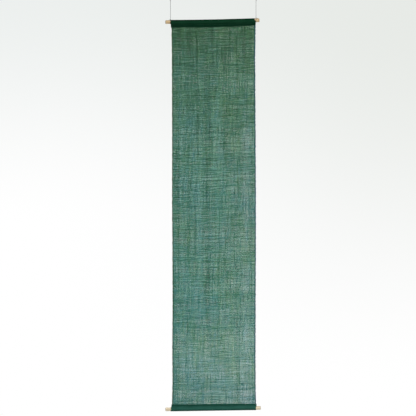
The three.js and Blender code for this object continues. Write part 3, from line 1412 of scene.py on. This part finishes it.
        slubs = np.pad(slubs, ((0, 0), (0, self.turn_nodes)))
        own = self.marked(middles) - yarn.slub_tone * slubs
        tone, dye = self.dyed(yarn, middles, streaks, own)
        turned = np.where(back_way[:, None], self.dye.left_turns, self.dye.right_turns)
        dye[:, nodes:] = self.dye.tinted(turned[:, None, :], tone[:, nodes:])
        piece = Piece("weft", shape).colour("dye", np.repeat(dye.reshape(-1, 3), 2, axis=0))

        pick, node, edge = (shape.places.reshape(-1, 3)[:, k] for k in range(3))
        step, start_apart = self.width / (nodes - 1), 1.37
        piece.map("yarn", np.stack([edge, node * step + pick * start_apart], -1))
        return piece.map("OFBake", self.weft_bake_map(pick, node, edge))

    def weft_bake_map(self, pick: Array, node: Array, edge: Array) -> Array:
        """A map without overlaps: picks in columns side by side, each a flat row with its turn last.

        Args:
            pick: each corner's pick.
            node: its node along the pick.
            edge: 0 or 1, the ribbon's lower or upper edge.

        Returns:
            One pair of numbers a corner.
        """
        margin, straight, turn = 0.005, 0.965, 0.025
        apart, wide = 0.15, 0.7
        last = self.weft_nodes - 1
        per_column = math.ceil(len(self.weft_v) / self.map_columns)
        share = margin + straight * np.minimum(node, last) / last
        share = share + turn * np.maximum(node - last, 0) / self.turn_nodes
        across = (pick % per_column + apart + wide * edge) / per_column
        return np.stack([(pick // per_column + share) / self.map_columns, across], -1)

    def warps(self) -> list[Piece]:
        """The warp ends as three pieces, from left to right."""
        groups = np.array_split(np.arange(len(self.warp_u)), len(self.warp_pieces))
        return [self.warp(name, group) for name, group in zip(self.warp_pieces, groups)]

    def warp(self, name: str, group: Array) -> Piece:
        """One piece of neighbouring warp ends, each a ribbon with a node where it crosses each pick.

        At pick j, end i stands over (-1)^(i + j) proud of the weft, so that neighbours
        go over and under by turns.

        Args:
            name: the piece's name.
            group: which ends it holds.

        Returns:
            The piece, with its maps and dye but no material.
        """
        yarn, chance = WARP_YARN, self.chance
        ends, picks = len(group), len(self.weft_v)
        u = self.warp_u[group][:, None] + np.zeros((ends, picks))
        v = self.weft_v[None, :] + 0 * u
        edge = np.minimum(group, len(self.warp_u) - 1 - group) < self.edge_ends
        loose = np.where(edge, self.edge_loose, 1.0)[:, None]
        own = chance.varied(ends, picks, yarn.strays) * loose
        u_there = u + (self.warp_shift(u, v) + own) / self.width
        v_there = v + self.weft_shift(u_there, v) / self.length
        beat = (-1.0) ** (group[:, None] + np.arange(picks)[None, :])
        middles = self.drape.point(u_there, v_there, self.over * beat)

        slubs = chance.slubs(ends, picks, yarn.slub_count, yarn.slub_reach)
        streaks = [kind.lines(chance, ends, picks) for kind in yarn.streaks]
        swell = self.swell(yarn, middles, streaks, slubs)
        widths = yarn.wide(np.where(edge[:, None], self.edge_swell * swell, swell))
        widths = np.where(edge[:, None], widths * self.edge_share, widths)
        shape = Shape.ribbons(middles, self.halves(middles, widths))

        tone, dye = self.dyed(yarn, middles, streaks, -yarn.slub_tone * slubs)
        at_left = edge & (group < self.edge_ends)
        at_right = edge & ~at_left
        for where, tint in ((at_left, self.dye.left_edge), (at_right, self.dye.right_edge)):
            dye[where] = self.dye.tinted(np.array(tint), tone[where])
        piece = Piece(name, shape).colour("dye", np.repeat(dye.reshape(-1, 3), 2, axis=0))

        end, pick, rim = (shape.places.reshape(-1, 3)[:, k] for k in range(3))
        start_apart, apart, wide = 2.71, 0.12, 0.76
        piece.map("yarn", np.stack([rim, pick * self.pitch + end * start_apart], -1))
        return piece.map("OFBake", np.stack([(end + apart + wide * rim) / ends, 1 - pick / (picks - 1)], -1))

    def build(self, finish: RamieFinish, hangs_from: bpy.types.Object) -> None:
        """Args:
            finish: the yarns' finish.
            hangs_from: the piece that holds its upper end; not used.
        """
        material = finish.material()
        weft = self.weft().place(material, Slot.RAMIE, "cloth_panel")
        warps = [piece.place(material, Slot.RAMIE, "cloth_panel") for piece in self.warps()]
        self.width * MM


@dataclass(frozen=True)
class Stitch:
    """One running stitch, and how evenly its row is sewn."""

    pitch: float = 4.6
    reach: float = 3.0
    radius: float = 0.21
    rise: float = 0.12
    proud: float = 0.26
    margin: float = 3.0
    from_edge: float = 3.2
    uneven_start: float = 0.35
    uneven_row: float = 0.12
    rings: int = 5
    sides: int = 6


@dataclass
class Heading:
    """A dense strip folded round its dowel, with both its tails sewn over the panel's end."""

    name: str
    axis: Axis
    way: Tails
    left: tuple
    right: tuple
    tail_at: tuple
    tail_length: tuple
    finish: HeadingFinish
    radius: float = 8.35
    flat: float = 1.15
    half_wall: float = 0.45
    seam: float = 12.0
    end_at: tuple = (0.0, 0.12, 0.27, 0.41, 0.56, 0.72, 1.0)
    stations: int = 150
    tail_steps: int = 12
    slope_steps: int = 9
    arc_steps: int = 40
    hem: float = 6.0
    hem_ease: float = 1.5
    hem_thicker: float = 0.35
    pucker: float = 0.13
    pucker_reach: float = 1.6
    pucker_mean: float = 1.2
    slow_patch: tuple[float, float] = (26.0, 14.0)
    fine_patch: tuple[float, float] = (7.0, 9.0)
    faces_apart: float = 60.0
    tail_from: float = 8.0
    tail_ease: float = 6.0
    tail_ripple: float = 0.16
    slow_ripple: float = 0.07
    fine_ripple: float = 0.05
    inner_ripple: float = 0.6
    # Where the painted highlight across the fold's front lies and how far it reaches, and how much painted
    # shade darkens the hem.
    highlight_at: float = 3.5
    highlight_reach: float = 6.5
    hem_shade: float = 0.6
    inner_map_at: float = 90.0
    stitch: Stitch = Stitch()
    seed: int = 3

    def __post_init__(self) -> None:
        """Starts the heading's own chance and works out its mean width."""
        self.chance = Chance(self.seed)
        self.width = float(np.mean(self.right) - np.mean(self.left))

    def fold(self, tails: Array) -> Array:
        """Half-way through the strip, from one tail's edge round the dowel to the other's.

        Two straight runs, the tail and the slope to the point of touch, then an arc of
        the fold's radius, and the same mirrored.

        Args:
            tails: the tail's length at each station.

        Returns:
            Points (station, step, 2): across the fold, and away from the dowel.
        """
        bend = np.array([self.flat, self.seam])
        reach = np.linalg.norm(bend)
        touch = math.atan2(bend[1], bend[0]) - math.acos(self.radius / reach)
        tangent = self.radius * np.array([math.cos(touch), math.sin(touch)])
        down = np.linspace(1, 0, self.tail_steps)[None, :, None]
        ends = np.stack([np.full_like(tails, self.flat), tails], -1)[:, None, :]
        tail_run = bend + (ends - bend) * down
        slope = bend + (tangent - bend) * np.linspace(0, 1, self.slope_steps)[1:, None]
        angles = touch - np.linspace(0, 1, self.arc_steps)[1:-1] * (math.pi + 2 * touch)
        arc = self.radius * np.stack([np.cos(angles), np.sin(angles)], -1)
        slope, arc = (np.broadcast_to(p, (len(tails), *p.shape)) for p in (slope, arc))
        mirror = np.array([-1.0, 1.0])
        back = [run[:, ::-1] * mirror for run in (slope, tail_run)]
        return np.concatenate([tail_run, slope, arc, *back], 1)

    def carry(self, outline: Array, share: Array, tails: Array) -> Array:
        """Sets fold points along the dowel, between the strip's uneven ends.

        left and right give the ends' x at the shares end_at of the way from the crown
        to the tail's edge.

        Args:
            outline: points (station, step, 2) across the fold and away from the dowel.
            share: each station's share of the way along.
            tails: the tail's length at each station.

        Returns:
            Points (station, step, 3).
        """
        crown = self.radius + self.half_wall
        down = (outline[..., 1] + crown) / (tails[:, None] + crown)
        left = eased(down, self.end_at, self.left)
        right = eased(down, self.end_at, self.right)
        x = left + (right - left) * share[:, None]
        return np.stack([x, outline[..., 0], self.axis.height(x) + self.way.value * outline[..., 1]], -1)

    def tails(self, share: Array) -> Array:
        """The tail's length at a share of the way along."""
        x = np.mean(self.left) + self.width * share
        return eased(x, self.tail_at, self.tail_length)

    def cloth(self) -> Piece:
        """The folded strip: its middle line carried along the dowel, with a wall on both sides.

        The wall's outer face stands half_wall (1 + hem) - pucker + ripple off the middle,
        where the pucker draws in along the seam and the hem thickens the tail's last 6 mm.

        Returns:
            The strip's piece, with its map and its painted highlight and shade.
        """
        share = np.linspace(0, 1, self.stations)
        tails = self.tails(share)
        middle = self.fold(tails)
        run = np.gradient(middle, axis=1)
        out = unit(np.stack([-run[..., 1], run[..., 0]], -1))
        length = np.cumsum(np.linalg.norm(np.diff(middle, axis=1, prepend=middle[:, :1]), axis=-1), 1)
        away = middle[..., 1]
        x = share[:, None] * self.width + 0 * away
        on_tail = smooth((away - self.tail_from) / self.tail_ease)
        unrolled = away + self.faces_apart * np.sign(middle[..., 0])
        hem = self.hem_thicker * smooth((away - tails[:, None] + self.hem) / self.hem_ease)
        slow = self.chance.field(x, unrolled, *self.slow_patch)
        fine = self.chance.field(x, unrolled, *self.fine_patch)
        drawn = np.exp(-(((away - self.seam) / self.pucker_reach) ** 2))
        pucker = self.pucker * drawn * (self.pucker_mean + fine)
        ripple = on_tail * self.tail_ripple * (slow + 1.0) + self.fine_ripple * fine + self.slow_ripple * slow
        outer = middle + out * (self.half_wall * (1 + hem) - pucker + ripple)[..., None]
        inner = middle + out * (ripple * self.inner_ripple - self.half_wall)[..., None]
        rings = np.concatenate([outer, inner[:, ::-1]], 1)
        points = self.carry(rings, share, tails)
        shape = Shape.grid(points, around=True).capped(points.shape[1]).facing_out()
        piece = Piece(f"{self.name}_strip", shape)

        steps = middle.shape[1]
        row, column = shape.corner_places().T
        row, column = np.clip(row, 0, self.stations - 1), np.clip(column, 0, 2 * steps)
        there = np.minimum(column, 2 * steps - column)
        around = np.interp(there, np.arange(steps), length.mean(0))
        behind = np.where(column > steps, self.inner_map_at, 0.0)
        along = row / (self.stations - 1) * self.width
        piece.map("cloth", np.stack([along, around + behind], -1))
        # Painted light: a highlight across the front of the fold over the dowel, minus painted shade along
        # the hem; the inner face gets none.
        wear = np.exp(-(((away - self.highlight_at) / self.highlight_reach) ** 2)) - self.hem_shade * hem
        wear = np.concatenate([wear, 0 * wear], 1).reshape(-1, 1)
        worn_and_lit = np.vstack([wear, np.zeros((2, 1))])
        return piece.vector("wear", np.repeat(worn_and_lit, 3, axis=1))

    def stitches(self) -> Piece:
        """Running stitches at the seam and by the tail's edge, on both faces.

        A stitch is a spindle: rings of radius r sin^0.5(pi t) along an arc that stands
        proud in its middle.

        Returns:
            All the stitches as one piece.
        """
        kind = self.stitch
        rings, sides = kind.rings, kind.sides
        count = int((self.width - 2 * kind.margin) / kind.pitch)
        t = np.linspace(0.02, 0.98, rings)
        thick = kind.radius * np.sqrt(np.sin(np.pi * t))
        proud = self.flat + self.half_wall + kind.rise * np.sin(np.pi * t) + kind.proud
        angle = np.arange(sides) * TURN / sides
        shapes = []
        for at_seam in (True, False):
            for face in (-1, 1):
                start = kind.margin + kind.pitch * np.arange(count)
                start = start + kind.uneven_start * self.chance.spread(count)
                share = (start[:, None] + kind.reach * t[None, :]) / self.width
                tails = self.tails(share.ravel()).reshape(share.shape)
                row = self.seam if at_seam else tails - kind.from_edge
                away = row + kind.uneven_row * self.chance.spread(count, 1)
                ring_away = away[..., None] + thick[None, :, None] * np.cos(angle)
                ring_out = face * (proud[None, :, None] + thick[None, :, None] * np.sin(angle))
                outline = np.stack(np.broadcast_arrays(ring_out, ring_away), -1)
                placed = self.carry(outline.reshape(-1, sides, 2), share.ravel(), tails.ravel())
                placed = placed.reshape(count, rings, sides, 3)
                shapes += [Shape.grid(one, around=True).capped(sides).facing_out() for one in placed]
        shape = Shape.joined(shapes)
        piece = Piece(f"{self.name}_stitches", shape)
        row, column = shape.corner_places().T
        return piece.map("yarn", np.stack([column / sides, row * kind.reach / (rings - 1)], -1))

    def build(self, thread: bpy.types.Material, rests_on: bpy.types.Object) -> bpy.types.Object:
        """Args:
            thread: the stitches' material.
            rests_on: the dowel that it is folded round; not used.

        Returns:
            The strip's object.
        """
        strip = self.cloth().place(self.finish.material(), Slot.HEADING, self.name)
        sewn = self.stitches().place(thread, Slot.HEADING)
        middle = self.fold(self.tails(np.array([0.5])))
        self.width * MM
        return strip.object


@dataclass
class Dowel:
    """A round wooden rod with softened chamfers and flat sawn ends."""

    name: str
    axis: Axis
    finish: WoodFinish
    radius: float = 7.5
    chamfer: float = 1.6
    softened: float = 0.35
    pole_wear: float = 0.4
    sides: int = 64
    chamfer_stations: int = 8
    body_stations: int = 48

    def profile(self) -> tuple[Array, Array, Array]:
        """The rod's outline: how far from each end, the radius there, and how worn it is.

        The chamfer is a straight cut whose two corners are softened: its radius rises by
        a share of smooth(t) and the rest of t^0.85. Two rings lie on the flat end.

        Returns:
            The three, from the end inwards.
        """
        t = np.linspace(0, 1, self.chamfer_stations)
        softened = self.softened * smooth(t) + (1 - self.softened) * t ** 0.85
        rise = self.radius - self.chamfer + self.chamfer * softened
        flat = np.array([0.35, 0.75]) * (self.radius - self.chamfer)
        inset = np.concatenate([[0.0, 0.0], self.chamfer * t])
        radii = np.concatenate([flat, rise])
        worn_and_lit = np.concatenate([[0.45, 0.5], 0.9 - 0.5 * t])
        return inset, radii, worn_and_lit

    def build(self) -> bpy.types.Object:
        """Makes the rod: rings square to its axis at each place of its outline.

        Returns:
            The rod's object.
        """
        inset, radii, worn_and_lit = self.profile()
        edge = self.chamfer + 1.0
        body = np.linspace(self.axis.left + edge, self.axis.right - edge, self.body_stations)
        x = np.concatenate([self.axis.left + inset, body, (self.axis.right - inset)[::-1]])
        radius = np.concatenate([radii, np.full(len(body), self.radius), radii[::-1]])
        wear = np.concatenate([worn_and_lit, np.zeros(len(body)), worn_and_lit[::-1]])
        _, up = self.axis.directions(x)
        angle = np.arange(self.sides) * TURN / self.sides
        upward = np.cos(angle)[None, :, None] * up[:, None, :]
        backward = np.sin(angle)[None, :, None] * np.array([0.0, 1.0, 0.0])
        points = self.axis.point(x)[:, None, :] + radius[:, None, None] * (upward + backward)
        shape = Shape.grid(points, around=True).capped(self.sides).facing_out()
        piece = Piece(self.name + "_rod", shape)
        stock = np.stack([x[:, None] + 0 * angle, radius[:, None] * np.sin(angle),
                          radius[:, None] * np.cos(angle)], -1).reshape(-1, 3)
        stock = np.vstack([stock, [[x[0], 0, 0], [x[-1], 0, 0]]])
        flat_wear = np.concatenate([np.repeat(wear, self.sides), [self.pole_wear] * 2])
        piece.vector("stock", stock).vector("wear", np.repeat(flat_wear[:, None], 3, axis=1))
        row, column = shape.corner_places().T
        reach = np.interp(np.clip(row, 0, len(x) - 1), np.arange(len(x)), x)
        piece.map("OFBake", self.bake_map(row, column, reach, len(x)))
        return piece.place(self.finish.material(), Slot.WOOD, self.name).object

    def bake_map(self, row: Array, column: Array, reach: Array, stations: int) -> Array:
        """A map without overlaps: the body unrolled, and each end as a disc beneath it.

        Args:
            row: each corner's ring.
            column: its place round the ring.
            reach: its x.
            stations: how many rings there are.

        Returns:
            One pair of numbers a corner.
        """
        inset, radii, _ = self.profile()
        caps = len(inset)
        around = column / self.sides
        side = (reach - self.axis.left) / (self.axis.right - self.axis.left)
        body = np.stack([0.01 + 0.98 * side, 0.3 + 0.69 * around], -1)
        from_end = np.minimum(row, stations - 1 - row)
        grown = np.interp(from_end, np.arange(-1, caps), np.concatenate([[0.0], radii])) / self.radius
        centre = np.where(row < stations / 2, 0.14, 0.42)
        disc = np.stack([centre + 0.13 * grown * np.cos(around * TURN),
                         0.14 + 0.13 * grown * np.sin(around * TURN)], -1)
        return np.where((from_end <= 2)[:, None], disc, body)


@dataclass
class HangingString:
    """One string: two turns and a hitch round the dowel, a taut run, a knot and an eye."""

    side: Side
    foot: float
    finish: StringFinish
    rubbed: StringFinish
    head: float = -29.0
    radius: float = 0.7
    ply_radius: float = 0.53
    ply_offset: float = 0.17
    lay: float = 4.2
    sides: int = 12
    spacing: float = 0.5
    wrap_radius: float = 8.16
    turn_aside: float = 0.72
    hitch_radius: float = 1.2
    end_reach: float = 9.5
    knot_drop: float = 26.0
    knot_radius: float = 1.75
    knot_turns: float = 3.3
    knot_height: float = 3.7
    short_end: tuple = ((1.5, -0.9, -2.8), (1.9, -1.2, -5.0), (1.6, -1.1, -7.6), (1.9, -0.9, -9.8))
    eye_half: float = 4.3
    eye_leg: tuple = ((0.11, 1.06), (0.16, 0.93), (0.52, 0.72), (1.0, 0.34), (0.74, 0.07))

    def __post_init__(self) -> None:
        """Works out which way is out from the heading, and the name."""
        self.x = self.side.value * STRING_APART / 2
        self.name = f"{self.side.name.lower()}_string"

    def even(self, controls: Array) -> Array:
        """A smooth path through control points, with even steps along it.

        Each step between a pair is the cubic whose slope at a point is half the step
        between its neighbours, and the path is then read at equal arc lengths.

        Args:
            controls: the points that it passes.

        Returns:
            The path's points.
        """
        padded = np.vstack([2 * controls[0] - controls[1], controls, 2 * controls[-1] - controls[-2]])
        a, b, c, d = padded[:-3], padded[1:-2], padded[2:-1], padded[3:]
        t = np.linspace(0, 1, 24, endpoint=False)[None, :, None]
        a, b, c, d = (p[:, None, :] for p in (a, b, c, d))
        square, cube = 2 * a - 5 * b + 4 * c - d, 3 * b - a - 3 * c + d
        fine = 0.5 * (2 * b + (c - a) * t + square * t ** 2 + cube * t ** 3)
        fine = np.vstack([fine.reshape(-1, 3), controls[-1:]])
        length = np.concatenate([[0], np.cumsum(np.linalg.norm(np.diff(fine, axis=0), axis=1))])
        at = np.linspace(0, length[-1], max(int(length[-1] / self.spacing), 8) + 1)
        return np.stack([np.interp(at, length, fine[:, k]) for k in range(3)], -1)

    def tube(self, path: Array, reference: Array, thick: Array | float = 1.0) -> Shape:
        """Two plies laid together along a path.

        Round the path the radius is b cos a + sqrt(r^2 - b^2 sin^2 a) towards the nearer
        ply, and the section turns once for each lay.

        Args:
            path: the centre line.
            reference: a direction that the path never takes.
            thick: the string's thickness along the path, as a share of its own.

        Returns:
            A closed tube.
        """
        run = unit(np.gradient(path, axis=0))
        aside = unit(np.cross(run, reference))
        upward = np.cross(aside, run)
        length = np.concatenate([[0], np.cumsum(np.linalg.norm(np.diff(path, axis=0), axis=1))])
        angle = np.arange(self.sides) * TURN / self.sides
        swing = angle[None, :] + TURN * length[:, None] / self.lay
        near = self.ply_offset * np.abs(np.cos(angle))
        reach = near + np.sqrt(self.ply_radius ** 2 - (self.ply_offset * np.sin(angle)) ** 2)
        reach = reach[None, :] * (np.ones(len(path)) * thick)[:, None]
        points = (path[:, None, :] + (reach * np.cos(swing))[..., None] * aside[:, None, :]
                  + (reach * np.sin(swing))[..., None] * upward[:, None, :])
        return Shape.grid(points, around=True).capped(self.sides).facing_out()

    def piece(self, name: str, shapes: Sequence[Shape]) -> Piece:
        """Tubes as one piece, with the map "yarn" around and along them.

        Args:
            name: the piece's name.
            shapes: its tubes.

        Returns:
            The piece, without its material.
        """
        shape = Shape.joined(shapes)
        row, column = shape.corner_places().T
        made = Piece(name, shape)
        return made.map("yarn", np.stack([column / self.sides, row * self.spacing], -1))

    def local(self, along: Array, back: Array, up: Array) -> Array:
        """Points given along the dowel, to the back and up from its axis, by this string.

        Args:
            along: millimetres along the dowel.
            back: millimetres to the back.
            up: millimetres up from the axis.

        Returns:
            The points.
        """
        here = np.array([self.x])
        axis_dir, up_dir = (d[0] for d in TOP_AXIS.directions(here))
        centre = TOP_AXIS.point(here)[0]
        return (centre + along[:, None] * axis_dir + back[:, None] * np.array([0.0, 1.0, 0.0])
                + up[:, None] * up_dir)

    def wrap(self) -> Shape:
        """Two turns side by side, then a hitch round the standing string and a short end.

        The turns are R (sin a, cos a) to the back and up, with an even step along the
        dowel. The hitch is a small helix about the standing string.

        Returns:
            The wrap as one tube.
        """
        out, crown, beside = self.side.value, self.wrap_radius, self.turn_aside
        a = np.linspace(0, 2 * TURN, 40)
        turns = (out * (2 * beside * a / a[-1] - beside), crown * np.sin(a), crown * np.cos(a))
        b = np.linspace(0.15 * TURN, 1.35 * TURN, 14)
        rise = np.linspace(0, 1, 14)
        hitch_up = crown + 0.95 + 1.6 * rise
        hitch = (out * self.hitch_radius * np.cos(b), self.hitch_radius * np.sin(b), hitch_up)
        c = np.linspace(0.25, 1, 5)
        end_up = crown + 2.3 - 2.3 * smooth(c * 1.4) + 0.12
        end = (out * (self.end_reach * c - 0.9), 1.35 - 0.7 * c, end_up)
        controls = self.local(*(np.concatenate(parts) for parts in zip(turns, hitch, end)))
        path = self.even(controls)
        tip = np.linspace(0, 1, len(path))
        flare = 1 - 0.35 * smooth((tip - 0.985) / 0.015)
        return self.tube(path, np.array([0.93, 0.0, 0.37]), flare)

    def eye(self) -> list[Shape]:
        """The eye over its hook, the knot's coil round its legs and a short end.

        Returns:
            The three tubes.
        """
        legs = np.array(self.eye_leg)
        half = legs[:, 0] * self.eye_half
        drop = -legs[:, 1] * self.knot_drop
        left = np.stack([self.x - half, 0 * half + 0.12, drop], -1)
        right = np.stack([self.x + half, 0 * half - 0.12, drop], -1)[::-1]
        crown = np.array([[self.x, 0.0, self.radius]])
        eye = self.tube(self.even(np.vstack([left, crown, right])), np.array([0.0, 1.0, 0.0]))

        fall = np.linspace(0, 1, 50)
        a = self.knot_turns * TURN * fall
        coil_r = self.knot_radius * (0.86 + 0.14 * np.sin(np.pi * fall))
        down = 1.9 - self.knot_height * fall - self.knot_drop
        coil = np.stack([self.x + coil_r * np.cos(a), coil_r * np.sin(a), down], -1)
        tail = np.array(self.short_end) * np.array([self.side.value, 1, 1])
        tail = tail + np.array([self.x, 0.0, -self.knot_drop])
        return [eye, self.tube(self.even(coil), np.array([0.0, 0.0, 1.0])),
                self.tube(self.even(tail), np.array([0.0, 1.0, 0.0]))]

    def build(self) -> None:
        material = self.finish.material()
        rubbed = self.rubbed.material()
        wrap = self.piece(f"{self.name}_hitch", [self.wrap()])
        wrap.place(rubbed, Slot.STRING, f"{self.name}_wrap")
        eye = self.piece(f"{self.name}_eye", self.eye())
        eye.place(material, Slot.STRING, f"{self.name}_loop")
        ends = np.array([[self.x, 0.0, self.foot], [self.x, 0.0, self.head]])
        middle = ends.mean(0, keepdims=True)
        path = self.even(np.vstack([ends[:1], middle, ends[1:]]))
        run = self.piece(f"{self.name}_run", [self.tube(path, np.array([0.0, 1.0, 0.0]))])
        run.place(material, Slot.STRING, self.name)


@dataclass(frozen=True)
class Lamp:
    """One soft oblong lamp that the camera doesn't see: where it stands and what it faces."""

    name: str
    at: tuple[float, float, float]
    toward: tuple[float, float, float]
    size: tuple[float, float]
    watts: float

    def light(self) -> None:
        """Puts the lamp in the scene."""
        data = bpy.data.lights.new(self.name, "AREA")
        data.shape = "RECTANGLE"
        data.size, data.size_y = self.size
        data.energy = self.watts
        made = bpy.data.objects.new(self.name, data)
        made.location = self.at
        made.rotation_euler = (Vector(self.toward) - Vector(self.at)).to_track_quat("-Z", "Z").to_euler()
        made.visible_camera = False
        bpy.context.scene.collection.objects.link(made)


@dataclass(frozen=True)
class Backdrop:
    """What surrounds the hanging: white below and a little greyer above, and a soft even light.

    Each pair is where a change starts and ends. Heights run down from 0 at the picture's
    upper edge to 1 at its lower one, and aside is the view's direction across.
    """

    half_height: float = 0.1411
    aside: tuple[float, float] = (-0.12, 0.14)
    white_at_left: tuple[float, float] = (-0.05, 0.55)
    white_at_right: tuple[float, float] = (0.0, 0.95)
    left_grey: tuple = (0.838, 0.865, 0.852, 1.0)
    right_grey: tuple = (0.80, 0.825, 0.795, 1.0)
    white: tuple = (1.0, 1.0, 1.0, 1.0)
    light_tint: tuple = (0.97, 0.99, 1.0, 1.0)
    sky: tuple[float, float] = (-0.3, 0.8)
    light_below: float = 0.13
    light_gain: float = 0.32

    def build(self) -> None:
        """Makes the world: the camera sees the backdrop, and the light comes from the sky."""
        world = bpy.data.worlds.new("surroundings")
        bpy.context.scene.world = world
        s = Nodes(world)
        x, _, z = s.parts(s.value("ShaderNodeTexCoord", None, None, "Generated"))
        height = (self.half_height - z) / (2 * self.half_height)
        aside = x.rise(*self.aside)
        white = height.rise(*self.white_at_left) * (1.0 - aside) + height.rise(*self.white_at_right) * aside
        seen = s.blend(white, s.blend(aside, self.left_grey, self.right_grey), self.white)
        looking = s.value("ShaderNodeLightPath", None, None, "Is Camera Ray")
        backdrop = s.node("ShaderNodeBackground", None, {0: seen, 1: 1.0})
        strength = z.rise(*self.sky) * self.light_gain + self.light_below
        light = s.node("ShaderNodeBackground", None, {0: self.light_tint, 1: strength})
        mixed = s.node("ShaderNodeMixShader", None, {0: looking, 1: light.outputs[0], 2: backdrop.outputs[0]})
        s.node("ShaderNodeOutputWorld", None, {0: mixed.outputs[0]})


@dataclass
class Studio:
    """The camera, the pale surroundings and the soft lights, in metres."""

    distance: float = 6.0
    aim: tuple[float, float] = (-0.0215, -0.8856)
    frame_width: float = 1.7056
    sensor: float = 36.0
    floor_level: float = -2.3
    floor_radius: float = 2.9
    floor_hole: float = 0.02
    floor_rings: int = 12
    floor_sides: int = 96
    lamps: tuple[Lamp, ...] = (
        Lamp("key", (0.6, -2.4, -0.3), (0.0, 0.0, -0.95), (1.5, 0.9), 51.0),
        Lamp("overhead", (-0.1, -0.9, 1.4), (0.0, 0.0, -0.9), (1.4, 0.5), 11.0),
        Lamp("rear_fill", (-0.7, 2.4, -0.5), (0.0, 0.0, -0.9), (1.8, 1.4), 22.0),
    )

    def camera(self) -> None:
        """The camera, level and square on, whose frame is frame_width wide at the cloth."""
        data = bpy.data.cameras.new("camera")
        data.sensor_width = self.sensor
        data.lens = self.sensor * self.distance / self.frame_width
        eye = bpy.data.objects.new("camera", data)
        eye.location = (self.aim[0], -self.distance, self.aim[1])
        eye.rotation_euler = (math.pi / 2, 0.0, 0.0)
        bpy.context.scene.collection.objects.link(eye)
        bpy.context.scene.camera = eye
        bpy.context.scene.view_settings.view_transform = "Standard"

    def floor(self) -> None:
        """A round pale floor: points (r cos a, r sin a) on one level."""
        r = np.linspace(self.floor_hole, self.floor_radius, self.floor_rings)[:, None] / MM
        a = (np.arange(self.floor_sides) * TURN / self.floor_sides)[None, :]
        points = np.stack([r * np.cos(a), r * np.sin(a), 0 * r * a + self.floor_level / MM], -1)
        made = Piece("floor", Shape.grid(points[::-1], around=True))
        made.mesh.materials.append(FloorFinish().material())

    def build(self) -> None:
        """Makes all of it."""
        self.camera()
        Backdrop().build()
        for lamp in self.lamps:
            lamp.light()
        self.floor()


def main() -> None:
    """Builds the studio and the hanging, in order, and reports each piece."""
    logging.basicConfig(level=logging.INFO, format="%(name)s: %(message)s")
    Studio().build()
    HangingString(
        Side.LEFT, foot=-113.8,
        finish=StringFinish("left_string_grey", (0.045, 0.045, 0.047)),
        rubbed=StringFinish("left_hitch_grey", (0.070, 0.066, 0.058)),
    ).build()
    HangingString(
        Side.RIGHT, foot=-106.6,
        finish=StringFinish("right_string_grey", (0.10, 0.10, 0.098)),
        rubbed=StringFinish("right_hitch_grey", (0.25, 0.225, 0.175)),
    ).build()
    top_wood = WoodFinish("top_wood", (0.50, 0.365, 0.195), (0.35, 0.225, 0.095))
    # The bottom dowel is paler partly by its own wood and partly by painted light, brighter towards the
    # bottom.
    bottom_wood = WoodFinish("bottom_wood", (0.75, 0.635, 0.45), (0.58, 0.46, 0.29), pith=(-9.0, 15.0))
    top_dowel = Dowel("top_dowel", TOP_AXIS, top_wood).build()
    bottom_dowel = Dowel("bottom_dowel", BOTTOM_AXIS, bottom_wood).build()
    thread = ThreadFinish().material()
    top = Heading(
        "top_heading", TOP_AXIS, Tails.DOWN, seed=3,
        left=(-173.9, -173.9, -173.9, -173.9, -173.9, -174.0, -173.6),
        right=(169.8, 169.6, 169.9, 173.2, 174.0, 174.1, 173.8),
        tail_at=(-174, -128, -45, 28, 70, 134, 174),
        tail_length=(22.7, 21.4, 23.7, 22.3, 23.1, 21.0, 19.8),
        finish=HeadingFinish("top_heading_cloth", (0.0014, 0.0185, 0.0078), (0.0055, 0.036, 0.0165)),
    ).build(thread, top_dowel)
    # The same cloth as the top heading: its paler colours are partly its own and partly painted light,
    # brighter towards the bottom.
    Heading(
        "bottom_heading", BOTTOM_AXIS, Tails.UP, seed=5,
        left=(-174.6, -173.8, -173.5, -173.3, -173.0, -171.8, -170.4),
        right=(175.3, 175.1, 174.6, 174.0, 176.0, 177.5, 177.9),
        tail_at=(-175, -120, -60, 70, 134, 176),
        tail_length=(20.4, 19.2, 18.3, 17.9, 17.6, 16.5),
        finish=HeadingFinish("bottom_heading_cloth", (0.0095, 0.060, 0.041), (0.024, 0.100, 0.075)),
    ).build(thread, bottom_dowel)
    Panel().build(RamieFinish(), top)


if __name__ == "__main__":
    main()
